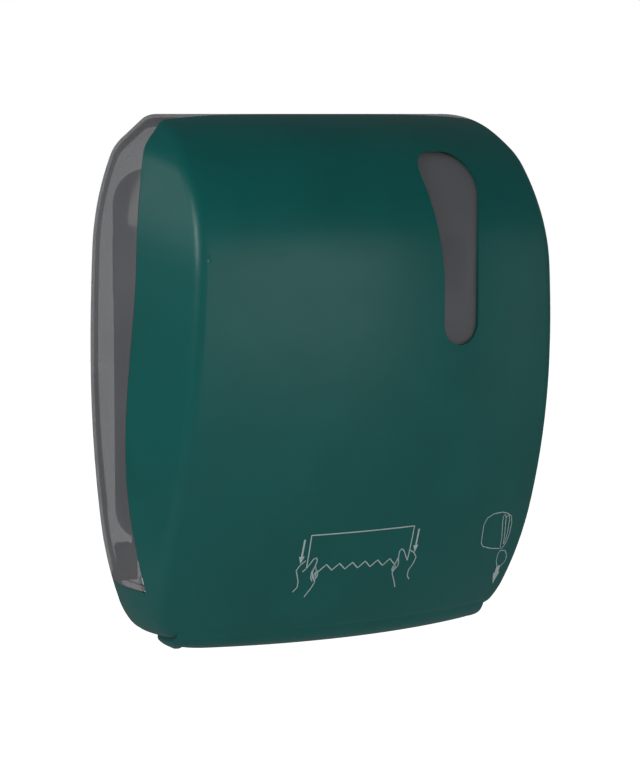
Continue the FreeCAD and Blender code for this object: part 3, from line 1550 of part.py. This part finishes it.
def feed_lever():
    x, thick = float(LEVER_X), float(S.lever_thickness)
    half_width = float(S.lever_arm_width) / 2
    hub = float(S.lever_hub_radius)
    end = lever_long
    pad_top = end - float(S.lever_pad_height)
    arm = flat([
        lever_spot(0, -hub), lever_spot(pad_top, -half_width), lever_spot(end - 3, -half_width),
        lever_spot(end, 3 - half_width), lever_spot(end, half_width - 3), lever_spot(end - 3, half_width),
        lever_spot(pad_top, half_width), lever_spot(0, hub),
    ], x, thick)
    shape = arm.fuse(disc_at(DRUM_SPOT, hub, x, thick))
    pad_in = float(S.frame_x + S.frame_wall) + 1
    pad_out = float(S.guard_outer)
    thumb = flat([
        lever_spot(pad_top, half_width - float(S.lever_pad_thickness)), lever_spot(end, half_width - 3),
        lever_spot(end - 3, half_width), lever_spot(pad_top, half_width),
    ], pad_in, pad_out - pad_in)
    shape = shape.fuse(thumb).cut(disc_at(DRUM_SPOT, float(S.shaft_radius) + float(clear), x - 1, thick + 2))
    pin = disc_at(FEED_PAWL_PIVOT, float(S.pawl_pin_radius), float(CRANK_X), x - float(CRANK_X) + thick)
    return shaped("feed_lever", shape.fuse(pin).removeSplitter())


feed_lever()


def pawl(label, pivot, seat_turn, lift):
    """A pawl whose point drops in before a tooth's upright face, lifted off it by an angle."""
    eye, thickness = float(S.pawl_radius), float(S.ratchet_thickness) - 0.4
    x = float(CRANK_X) + 0.2
    tip, back = round_wheel(TOOTH_SEAT, seat_turn), round_wheel(TOOTH_SEAT + 1, seat_turn)
    dx, dz = pivot[0] - tip[0], pivot[1] - tip[1]
    run = math.hypot(dx, dz)
    ux, uz = dx / run, dz / run
    side = math.copysign(eye, (back[0] - tip[0]) * -uz + (back[1] - tip[1]) * ux)
    body = flat([
        tip, back, (pivot[0] - uz * side, pivot[1] + ux * side), (pivot[0] + uz * side, pivot[1] - ux * side),
    ], x, thickness)
    shape = body.fuse(disc_at(pivot, eye, x, thickness))
    shape = shape.cut(disc_at(pivot, float(S.pawl_pin_radius) + float(clear), x - 1, thickness + 2))
    shape.rotate(Vector(x, -pivot[0], pivot[1]), Vector(1, 0, 0), -lift)
    return shaped(label, shape.removeSplitter())


slack = float(S.pawl_seat_slack)
pawl("feed_pawl", FEED_PAWL_PIVOT, 2 * PITCH - slack, float(S.pawl_lift))
pawl("back_pawl", BACK_PAWL_PIVOT, 12 * PITCH - slack, float(S.pawl_lift))
pawl_x, pawl_thick = float(CRANK_X) + 0.2, float(S.ratchet_thickness) - 0.4
back_pin = disc_at(
    BACK_PAWL_PIVOT, float(S.pawl_pin_radius), float(S.frame_x + S.frame_wall),
    pawl_x + pawl_thick - float(S.frame_x + S.frame_wall),
)
shaped("back_pawl_pin", back_pin)


# Lock in the top of the cover and its keeper on the back plate

LOCK_SEAT = S.body_top - S.lock_seat_drop
BARREL_END = LOCK_SEAT - S.lock_length
stem_post = post("lock_stem", 0.0, S.lock_depth, (BARREL_END, LOCK_SEAT), S.lock_radius)
head_post = post("lock_head", 0.0, S.lock_depth, (LOCK_SEAT, LOCK_SEAT + S.lock_head_height), S.lock_head_radius)
keyway = box("keyway", (-0.8, 0.8), (S.lock_depth - 4, S.lock_depth + 4), (LOCK_SEAT - 6, LOCK_SEAT + 10))
node(cut("lock_barrel", fuse("lock_blank", [stem_post, head_post]), [keyway]), "lock_barrel")
half_tongue = S.tongue_width / 2
tongue_low = BARREL_END - S.tongue_thickness
tongue_bar = box(
    "tongue_bar", (-1 * half_tongue, half_tongue), (S.lock_depth - S.tongue_length, S.lock_depth),
    (tongue_low, BARREL_END),
)
tongue_eye = post("tongue_eye", 0.0, S.lock_depth, (tongue_low, BARREL_END), S.lock_radius)
node(fuse("lock_tongue", [tongue_bar, tongue_eye]), "lock_tongue")
rim_inside = S.plate_top - S.plate_wall
keeper_xs = (S.keeper_x, S.keeper_x + S.keeper_half_width)
lug_depth = S.lock_depth + half_tongue + 1
keeper_parts = [
    box("keeper_foot", keeper_xs, (S.plate_wall, S.plate_rim), (S.keeper_foot, rim_inside)),
    box("keeper_upright", keeper_xs, (S.plate_rim, S.plate_rim + S.keeper_wall), (S.keeper_foot, S.keeper_top)),
    box("keeper_beam", keeper_xs, (S.plate_rim, lug_depth + S.keeper_wall), (S.keeper_low, S.keeper_top)),
    box("keeper_lug", keeper_xs, (lug_depth, lug_depth + S.keeper_wall), (S.keeper_low, S.keeper_lug_top)),
]
node(fuse("keeper", keeper_parts), "keeper")


# Hinge pins and screws

for name, side in (("right_hinge_pin", 1), ("left_hinge_pin", -1)):
    xs = tuple(sorted((side * S.hinge_pin_inner, side * (S.ear_x + S.ear_half)), key=float))
    node(rod(name, xs, HINGE[0], HINGE[1], S.hinge_pin_radius), name)


def screw(name, x, z, head_from, shank_end, radius, head_radius):
    """A pan head on a shank; depths run from the shank's end to the head's face."""
    shank = dowel(name + "_shank", x, (shank_end, head_from), z, radius)
    cap = dowel(name + "_head", x, (head_from, head_from + S.screw_head_height), z, head_radius)
    return fuse(name, [shank, cap])


shank = S.screw_radius - S.screw_slack
frame_head, arm_head = S.plate_wall + S.frame_wall, 2 * S.plate_wall
screws = [
    screw(f"frame_screw_{i}", x, z, frame_head if i < 4 else arm_head, S.screw_end_depth, shank, S.screw_head_radius)
    for i, (x, z) in enumerate(SCREW_SPOTS)
]
node(group("frame_screws", screws), "frame_screws")


def shell_screws():
    solids = []
    for x, z, depth in shell_boss_spots():
        away = Vector(0, -1, 0)
        washer = Part.makeCylinder(float(S.shell_washer_radius), 2.0, Vector(x, 2 - depth, z), away)
        stem_solid = Part.makeCylinder(float(S.shell_screw_radius), 8, Vector(x, -depth, z), away)
        solids.append(washer.fuse(stem_solid).removeSplitter())
    return shaped("shell_screws", Part.makeCompound(solids))


shell_screws()


def check_and_write():
    doc.recompute()
    for obj in doc.Objects:
        if "Invalid" in obj.State or "Error" in obj.State:
            raise RuntimeError(f"{obj.Label} failed: {obj.State}")
    for obj in NODES:
        shape = obj.Shape
        if shape.isNull() or not shape.isValid() or not shape.Solids:
            raise RuntimeError(f"{obj.Label} has no valid solid")
    os.makedirs("parts", exist_ok=True)
    for obj in NODES:
        obj.Shape.exportStep(f"parts/{obj.Label}.step")
        box_of = obj.Shape.optimalBoundingBox(False)
        print(
            f"{obj.Label:24s} solids {len(obj.Shape.Solids)}  faces {len(obj.Shape.Faces):4d}"
            f"  x {box_of.XMin:7.1f} {box_of.XMax:7.1f}  depth {-box_of.YMax:6.1f} {-box_of.YMin:6.1f}"
            f"  z {box_of.ZMin:7.1f} {box_of.ZMax:7.1f}"
        )


check_and_write()
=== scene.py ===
import json
import math
import bmesh
import bpy
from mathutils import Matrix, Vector


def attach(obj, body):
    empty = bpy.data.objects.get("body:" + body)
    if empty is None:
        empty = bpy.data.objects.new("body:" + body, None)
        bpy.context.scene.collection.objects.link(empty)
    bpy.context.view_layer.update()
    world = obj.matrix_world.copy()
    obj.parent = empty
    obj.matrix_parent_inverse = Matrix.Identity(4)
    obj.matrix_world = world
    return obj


# Wall dispenser for rolled paper towels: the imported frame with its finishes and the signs
# printed on its front. Metres, in the frame's own directions: X right, Y into the wall, Z up.

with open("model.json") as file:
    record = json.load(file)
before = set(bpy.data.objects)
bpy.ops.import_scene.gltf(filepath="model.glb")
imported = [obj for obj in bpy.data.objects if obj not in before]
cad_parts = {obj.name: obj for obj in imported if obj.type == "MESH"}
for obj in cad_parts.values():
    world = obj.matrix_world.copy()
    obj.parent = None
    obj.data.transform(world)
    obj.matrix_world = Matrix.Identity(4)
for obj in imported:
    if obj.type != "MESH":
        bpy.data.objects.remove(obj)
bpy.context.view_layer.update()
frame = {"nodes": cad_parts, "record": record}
NODES = frame["nodes"]
FRONT = NODES["front_cover"]
SCENE = bpy.context.scene

# Camera, fitted to the picture: its focal length is in picture pixels

FOCAL_LENGTH = 2502.6
PICTURE_HEIGHT = 760.0
SENSOR_WIDTH = 36.0
CAMERA_PLACE = (-0.861, -1.6675, 0.186)
CAMERA_TILT = 83.93
CAMERA_TURN = -28.917

# Room: each light's name, place, target, width, height and watts

LIGHTS = (
    ("front_light", (0.3, -3.2, -0.1), (0.0, -0.1, -0.05), 3.0, 3.2, 38.0),
    ("ridge_light", (-2.0, -0.6, 0.85), (-0.15, -0.15, 0.08), 0.5, 0.8, 15.0),
    ("rear_left_light", (-1.7, 0.7, 0.8), (-0.15, -0.1, 0.08), 0.9, 0.9, 3.5),
    ("right_light", (2.2, -1.2, 0.0), (0.1, -0.1, 0.0), 0.7, 1.6, 2.0),
)
WHITE = (1.0, 1.0, 1.0, 1.0)
GLOW_BELOW = (0.22, 0.23, 0.24, 1.0)
GLOW_ABOVE = (0.08, 0.085, 0.09, 1.0)
GLOW_END = 0.75
FLOOR_COLOUR = (0.9, 0.9, 0.9, 1.0)
FLOOR_SIZE = 14.0
FLOOR_Z = -0.75

# Finishes

CLOUD_START = 0.35
CLOUD_END = 0.65
ACRYLIC_IOR = 1.49
SHARP_ANGLE = 32.0

# Print: the ink stands a little over the skin and its underside sinks into it

STROKE_STEP = 0.0016
STROKE_RISE = 0.00007
PATCH_RISE = 0.00009
PRINT_SINK = 0.00015
RAY_START_Y = -0.6
MM = 1000.0


# Camera and room

def add_camera():
    data = bpy.data.cameras.new("camera")
    data.sensor_width = SENSOR_WIDTH
    data.sensor_fit = "AUTO"
    data.lens = FOCAL_LENGTH * SENSOR_WIDTH / PICTURE_HEIGHT
    camera = bpy.data.objects.new("camera", data)
    camera.location = CAMERA_PLACE
    camera.rotation_euler = (math.radians(CAMERA_TILT), 0.0, math.radians(CAMERA_TURN))
    SCENE.collection.objects.link(camera)
    SCENE.camera = camera


def area_light(name, place, target, width, height, power):
    data = bpy.data.lights.new(name, "AREA")
    data.shape = "RECTANGLE"
    data.size = width
    data.size_y = height
    data.energy = power
    light = bpy.data.objects.new(name, data)
    light.location = place
    aim = Vector(target) - Vector(place)
    light.rotation_euler = aim.to_track_quat("-Z", "Y").to_euler()
    SCENE.collection.objects.link(light)


def add_world():
    """White to the camera, and a soft grey glow from below to everything else."""
    world = bpy.data.worlds.new("studio")
    world.use_nodes = True
    tree = world.node_tree
    tree.nodes.clear()
    out = tree.nodes.new("ShaderNodeOutputWorld")
    mix = tree.nodes.new("ShaderNodeMixShader")
    path = tree.nodes.new("ShaderNodeLightPath")
    seen = tree.nodes.new("ShaderNodeBackground")
    seen.inputs["Color"].default_value = WHITE
    soft = tree.nodes.new("ShaderNodeBackground")
    place = tree.nodes.new("ShaderNodeTexCoord")
    height = tree.nodes.new("ShaderNodeSeparateXYZ")
    tree.links.new(place.outputs["Generated"], height.inputs[0])
    half = tree.nodes.new("ShaderNodeMapRange")
    half.inputs["From Min"].default_value = -1.0
    half.inputs["From Max"].default_value = 1.0
    tree.links.new(height.outputs["Z"], half.inputs["Value"])
    glow = ramp(tree, half.outputs[0], GLOW_BELOW, GLOW_ABOVE, 0.0, GLOW_END)
    tree.links.new(glow, soft.inputs["Color"])
    tree.links.new(path.outputs["Is Camera Ray"], mix.inputs[0])
    tree.links.new(soft.outputs[0], mix.inputs[1])
    tree.links.new(seen.outputs[0], mix.inputs[2])
    tree.links.new(mix.outputs[0], out.inputs[0])
    SCENE.world = world
    SCENE.view_settings.view_transform = "Standard"
    SCENE.view_settings.look = "None"


def add_floor():
    """A floor that looks white, and that a view from below sees through."""
    bpy.ops.mesh.primitive_plane_add(size=FLOOR_SIZE, location=(0.0, 0.0, FLOOR_Z))
    floor = bpy.context.object
    floor.name = "floor"
    paint, tree, bsdf = shader("floor_paint")
    bsdf.inputs["Base Color"].default_value = FLOOR_COLOUR
    bsdf.inputs["Emission Color"].default_value = WHITE
    path = tree.nodes.new("ShaderNodeLightPath")
    tree.links.new(path.outputs["Is Camera Ray"], bsdf.inputs["Emission Strength"])
    facing = tree.nodes.new("ShaderNodeNewGeometry")
    front = tree.nodes.new("ShaderNodeMath")
    front.operation = "SUBTRACT"
    front.inputs[0].default_value = 1.0
    tree.links.new(facing.outputs["Backfacing"], front.inputs[1])
    tree.links.new(front.outputs[0], bsdf.inputs["Alpha"])
    floor.data.materials.append(paint)


def add_room():
    add_world()
    for light in LIGHTS:
        area_light(*light)
    add_floor()


# Materials

def shader(name):
    material = bpy.data.materials.new(name)
    material.use_nodes = True
    return material, material.node_tree, material.node_tree.nodes["Principled BSDF"]


def object_noise(tree, scale, detail=2.0, stretch=None):
    """Noise in the piece's own space, drawn out along an axis where stretch is given."""
    place = tree.nodes.new("ShaderNodeTexCoord").outputs["Object"]
    if stretch:
        mapping = tree.nodes.new("ShaderNodeMapping")
        mapping.inputs["Scale"].default_value = stretch
        tree.links.new(place, mapping.inputs["Vector"])
        place = mapping.outputs[0]
    noise = tree.nodes.new("ShaderNodeTexNoise")
    noise.inputs["Scale"].default_value = scale
    noise.inputs["Detail"].default_value = detail
    tree.links.new(place, noise.inputs["Vector"])
    return noise.outputs["Fac"]


def ramp(tree, value, low, high, start, end):
    node = tree.nodes.new("ShaderNodeValToRGB")
    node.color_ramp.elements[0].position = start
    node.color_ramp.elements[0].color = low
    node.color_ramp.elements[1].position = end
    node.color_ramp.elements[1].color = high
    tree.links.new(value, node.inputs[0])
    return node.outputs[0]


def cloudy_colour(tree, bsdf, value, low, high):
    colour = ramp(tree, value, (*low, 1), (*high, 1), CLOUD_START, CLOUD_END)
    tree.links.new(colour, bsdf.inputs["Base Color"])


def cloudy_gloss(tree, bsdf, value, low, high):
    node = tree.nodes.new("ShaderNodeMapRange")
    node.inputs["To Min"].default_value = low
    node.inputs["To Max"].default_value = high
    tree.links.new(value, node.inputs["Value"])
    tree.links.new(node.outputs[0], bsdf.inputs["Roughness"])


def add_bump(tree, bsdf, value, strength, distance):
    bump = tree.nodes.new("ShaderNodeBump")
    bump.inputs["Strength"].default_value = strength
    bump.inputs["Distance"].default_value = distance
    tree.links.new(value, bump.inputs["Height"])
    tree.links.new(bump.outputs[0], bsdf.inputs["Normal"])


def moulded(name, colour, roughness=0.45, vary=0.06, depth=0.00003, specular=0.5):
    """Moulded plastic: a fine spark-eroded grain, cloudy gloss and a slight drift of colour."""
    material, tree, bsdf = shader(name)
    low = tuple(c * (1 - vary) for c in colour)
    high = tuple(min(1.0, c * (1 + vary)) for c in colour)
    cloudy_colour(tree, bsdf, object_noise(tree, 18.0, 4.0), low, high)
    cloudy_gloss(tree, bsdf, object_noise(tree, 55.0, 3.0), roughness * 0.9, roughness * 1.1)
    bsdf.inputs["Specular IOR Level"].default_value = specular
    add_bump(tree, bsdf, object_noise(tree, 1400.0, 3.0), 0.5, depth)
    return material


def smoked(name, colour, roughness=0.09, cover=0.72):
    """Smoked see-through plastic with a faint flow of its melt."""
    material, tree, bsdf = shader(name)
    dark = tuple(c * 0.85 for c in colour)
    cloudy_colour(tree, bsdf, object_noise(tree, 9.0, 3.0), dark, colour)
    cloudy_gloss(tree, bsdf, object_noise(tree, 40.0), roughness * 0.8, roughness * 1.3)
    bsdf.inputs["IOR"].default_value = ACRYLIC_IOR
    bsdf.inputs["Alpha"].default_value = cover
    add_bump(tree, bsdf, object_noise(tree, 30.0), 0.25, 0.0002)
    return material


def metal(name, colour, roughness, brushed=(1.0, 1.0, 1.0)):
    """Drawn or plated metal with fine lines along one direction and cloudy gloss."""
    material, tree, bsdf = shader(name)
    bsdf.inputs["Metallic"].default_value = 1.0
    lines = object_noise(tree, 900.0, 4.0, brushed)
    low = tuple(c * 0.88 for c in colour)
    cloudy_colour(tree, bsdf, object_noise(tree, 60.0, 3.0), low, colour)
    cloudy_gloss(tree, bsdf, lines, roughness * 0.75, roughness * 1.3)
    add_bump(tree, bsdf, lines, 0.25, 0.00002)
    return material


def rubber(name, colour):
    """Matt rubber with a coarse skin."""
    material, tree, bsdf = shader(name)
    low = tuple(c * 0.75 for c in colour)
    cloudy_colour(tree, bsdf, object_noise(tree, 120.0, 4.0), low, colour)
    cloudy_gloss(tree, bsdf, object_noise(tree, 300.0), 0.62, 0.85)
    add_bump(tree, bsdf, object_noise(tree, 2200.0, 3.0), 0.7, 0.00006)
    return material


FINISH = {
    "green_shell": moulded("green_shell", (0.004, 0.125, 0.112), 0.36, 0.05, specular=0.35),
    "smoked_shell": smoked("smoked_shell", (0.2, 0.204, 0.216)),
    "grey_plastic": moulded("grey_plastic", (0.30, 0.31, 0.33), 0.5),
    "dark_plastic": moulded("dark_plastic", (0.045, 0.045, 0.05), 0.5),
    "light_plastic": moulded("light_plastic", (0.62, 0.63, 0.64)),
    "lever_green": moulded("lever_green", (0.02, 0.30, 0.22), 0.42),
    "steel": metal("steel", (0.60, 0.61, 0.63), 0.28, brushed=(0.05, 1.0, 1.0)),
    "zinc": metal("zinc", (0.74, 0.75, 0.78), 0.34),
    "brass": metal("brass", (0.66, 0.48, 0.22), 0.36),
    "grip_rubber": rubber("grip_rubber", (0.06, 0.06, 0.06)),
}
PRINT = moulded("print", (0.56, 0.66, 0.66), 0.6, 0.03, depth=0.00001)


def smooth(obj):
    for polygon in obj.data.polygons:
        polygon.use_smooth = True
    obj.data.set_sharp_from_angle(angle=math.radians(SHARP_ANGLE))


def dress_nodes():
    """Gives every node the finish of its slot and shades it smoothly up to its sharp edges."""
    slots = {row["node"]: row["material_slot"] for row in frame["record"]["subparts"]}
    for name, obj in NODES.items():
        obj.data.materials.clear()
        obj.data.materials.append(FINISH[slots[name]])
        smooth(obj)


# Printed strokes and areas, laid on the front's skin

def on_front(x, z):
    """The place and outward normal of the front's skin at a real x and z."""
    start = Vector((x, RAY_START_Y, z))
    hit, place, normal, _ = FRONT.ray_cast(start, Vector((0.0, 1.0, 0.0)))
    if not hit:
        raise ValueError(f"no front skin at {x:.4f}, {z:.4f}")
    return place, normal


def resample(points, step):
    out = []
    for a, b in zip(points, points[1:]):
        count = max(1, round(math.dist(a, b) / step))
        for i in range(count):
            t = i / count
            out.append((a[0] + (b[0] - a[0]) * t, a[1] + (b[1] - a[1]) * t))
    out.append(points[-1])
    return out


def ribbon(bm, points, width, closed):
    """One printed stroke through (x, z) points in millimetres, as a thin closed strip."""
    line = [(x / MM, z / MM) for x, z in points]
    if closed:
        line.append(line[0])
    line = resample(line, STROKE_STEP)
    if closed:
        line = line[:-1]
    count = len(line)
    half = width / (2.0 * MM)
    rows = []
    for i, (x, z) in enumerate(line):
        if closed:
            before, after = line[i - 1], line[(i + 1) % count]
        else:
            before, after = line[max(0, i - 1)], line[min(count - 1, i + 1)]
        along = Vector((after[0] - before[0], 0.0, after[1] - before[1])).normalized()
        across = Vector((-along.z, 0.0, along.x)) * half
        row = []
        for sign in (1.0, -1.0):
            place, normal = on_front(x + across.x * sign, z + across.z * sign)
            row.append(bm.verts.new(place + normal * STROKE_RISE))
            row.append(bm.verts.new(place - normal * PRINT_SINK))
        rows.append(row)
    pairs = list(zip(rows, rows[1:]))
    if closed:
        pairs.append((rows[-1], rows[0]))
    for a, b in pairs:
        for u, v in ((0, 2), (2, 3), (3, 1), (1, 0)):
            bm.faces.new((a[u], b[u], b[v], a[v]))
    if not closed:
        bm.faces.new((rows[0][0], rows[0][2], rows[0][3], rows[0][1]))
        bm.faces.new((rows[-1][1], rows[-1][3], rows[-1][2], rows[-1][0]))


def patch(bm, points):
    """One small printed area inside a convex outline of (x, z) points in millimetres."""
    top = []
    low = []
    for x, z in points:
        place, normal = on_front(x / MM, z / MM)
        top.append(bm.verts.new(place + normal * PATCH_RISE))
        low.append(bm.verts.new(place - normal * PRINT_SINK))
    bm.faces.new(top)
    bm.faces.new(low[::-1])
    count = len(points)
    for i in range(count):
        j = (i + 1) % count
        bm.faces.new((top[j], top[i], low[i], low[j]))


def printed(name, lines=(), loops=(), width=0.8, patches=()):
    """One sign made of open strokes, closed strokes and small filled areas."""
    bm = bmesh.new()
    for points in lines:
        ribbon(bm, points, width, False)
    for points in loops:
        ribbon(bm, points, width, True)
    for points in patches:
        patch(bm, points)
    bmesh.ops.recalc_face_normals(bm, faces=bm.faces)
    mesh = bpy.data.meshes.new(name)
    bm.to_mesh(mesh)
    bm.free()
    obj = bpy.data.objects.new(name, mesh)
    SCENE.collection.objects.link(obj)
    mesh.materials.append(PRINT)
    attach(obj, "cover")


def arrow(tail, tip, shaft, head):
    """A filled arrow as a bar and a triangle, between two (x, z) points."""
    run = math.dist(tail, tip)
    ux, uz = (tip[0] - tail[0]) / run, (tip[1] - tail[1]) / run
    neck = (tip[0] - ux * head * 1.3, tip[1] - uz * head * 1.3)

    def aside(point, way, reach):
        return point[0] - uz * way * reach, point[1] + ux * way * reach

    bar = [
        aside(tail, 1, shaft / 2), aside(tail, -1, shaft / 2),
        aside(neck, -1, shaft / 2), aside(neck, 1, shaft / 2),
    ]
    return [bar, [aside(neck, 1, head / 2), aside(neck, -1, head / 2), tip]]


# Signs, in millimetres: two hands pull a towel down, and a lever is pushed down at the right

TOWEL = [(-49.2, -124.6), (-50.5, -100.0), (29.8, -99.4), (30.5, -125.4)]
TEETH = 6
TEAR_LEFT = -39.8
TEAR_RIGHT = 20.0
TEAR_LOW = -127.6
TEAR_HIGH = -122.6
LEFT_HAND = [
    [(-55.0, -142.0), (-52.6, -138.6), (-53.0, -134.0), (-56.3, -125.6), (-54.4, -121.8), (-50.9, -118.6)],
    [(-51.6, -127.0), (-49.0, -124.4), (-45.6, -118.2), (-43.6, -116.8), (-42.4, -118.8), (-42.9, -123.0)],
    [(-42.9, -123.0), (-41.4, -126.4), (-39.8, -127.6)],
    [(-42.9, -123.0), (-44.6, -127.6), (-44.4, -131.8), (-42.6, -134.8)],
    [(-45.6, -146.4), (-42.0, -139.6), (-40.6, -135.6), (-41.2, -132.6)],
]
RIGHT_HAND = [
    [(26.0, -145.6), (23.6, -140.4), (20.4, -134.8), (20.0, -128.2), (22.2, -122.2), (21.8, -117.8)],
    [(21.8, -117.8), (23.2, -116.0), (25.4, -117.4), (30.4, -125.4)],
    [
        (30.2, -117.4), (34.6, -119.8), (37.6, -123.6), (36.6, -128.2), (33.8, -133.4),
        (34.2, -137.8), (36.6, -140.6),
    ],
]
FINGERS = [
    [(-42.9, -123.6), (-44.0, -127.4), (-43.0, -132.6), (-41.2, -132.0), (-41.0, -127.2)],
    [(-41.4, -127.0), (-42.8, -130.8), (-41.6, -134.2), (-39.9, -131.6), (-40.0, -128.2)],
    [(22.4, -122.6), (20.8, -127.6), (21.8, -131.4), (23.6, -127.8)],
    [(20.6, -126.4), (19.0, -130.6), (20.2, -133.8), (21.6, -130.6)],
]
CASING = [
    (120.6, -127.9), (111.0, -126.4), (101.1, -123.4), (98.4, -120.4), (96.9, -112.0), (96.2, -106.0),
    (98.3, -101.2), (104.4, -98.6), (113.2, -98.4), (119.3, -100.0), (124.6, -102.9), (126.9, -108.2),
    (127.8, -117.0), (126.4, -124.6), (123.6, -128.6),
]
CASING_EDGE = [
    (121.6, -128.2), (119.6, -118.0), (116.0, -106.0), (115.4, -101.8), (117.4, -100.6),
    (119.0, -104.0), (122.4, -117.6), (124.0, -125.0),
]
CASING_SIDE = [(119.0, -103.4), (121.4, -101.6), (123.4, -105.4), (125.0, -116.4), (124.8, -124.6)]
LEVER_KNOB = [
    (122.2, -129.6), (128.4, -130.6), (131.6, -134.0), (133.0, -137.4), (132.2, -140.4), (129.2, -143.0),
    (124.4, -142.6), (121.6, -137.6), (121.2, -133.0),
]


def tear_line():
    """The towel's torn lower edge."""
    pitch = (TEAR_RIGHT - TEAR_LEFT) / TEETH
    line = [(TEAR_LEFT, TEAR_LOW)]
    for i in range(TEETH):
        line.append((TEAR_LEFT + (i + 0.5) * pitch, TEAR_HIGH))
        line.append((TEAR_LEFT + (i + 1) * pitch, TEAR_LOW + 0.4))
    return line


def add_signs():
    left_pull = arrow((-54.7, -102.8), (-54.4, -120.8), 1.3, 4.2)
    right_pull = arrow((34.4, -101.9), (35.0, -119.8), 1.3, 4.2)
    printed("towel_sign", [TOWEL, tear_line()], patches=left_pull + right_pull)
    printed("hands_sign", LEFT_HAND + RIGHT_HAND, FINGERS, width=0.7)
    push = arrow((126.4, -143.1), (126.8, -157.3), 4.0, 7.2)
    printed("feed_sign", [CASING, CASING_EDGE, CASING_SIDE], [LEVER_KNOB], width=0.6, patches=push)


# Build

add_camera()
add_room()
dress_nodes()
add_signs()
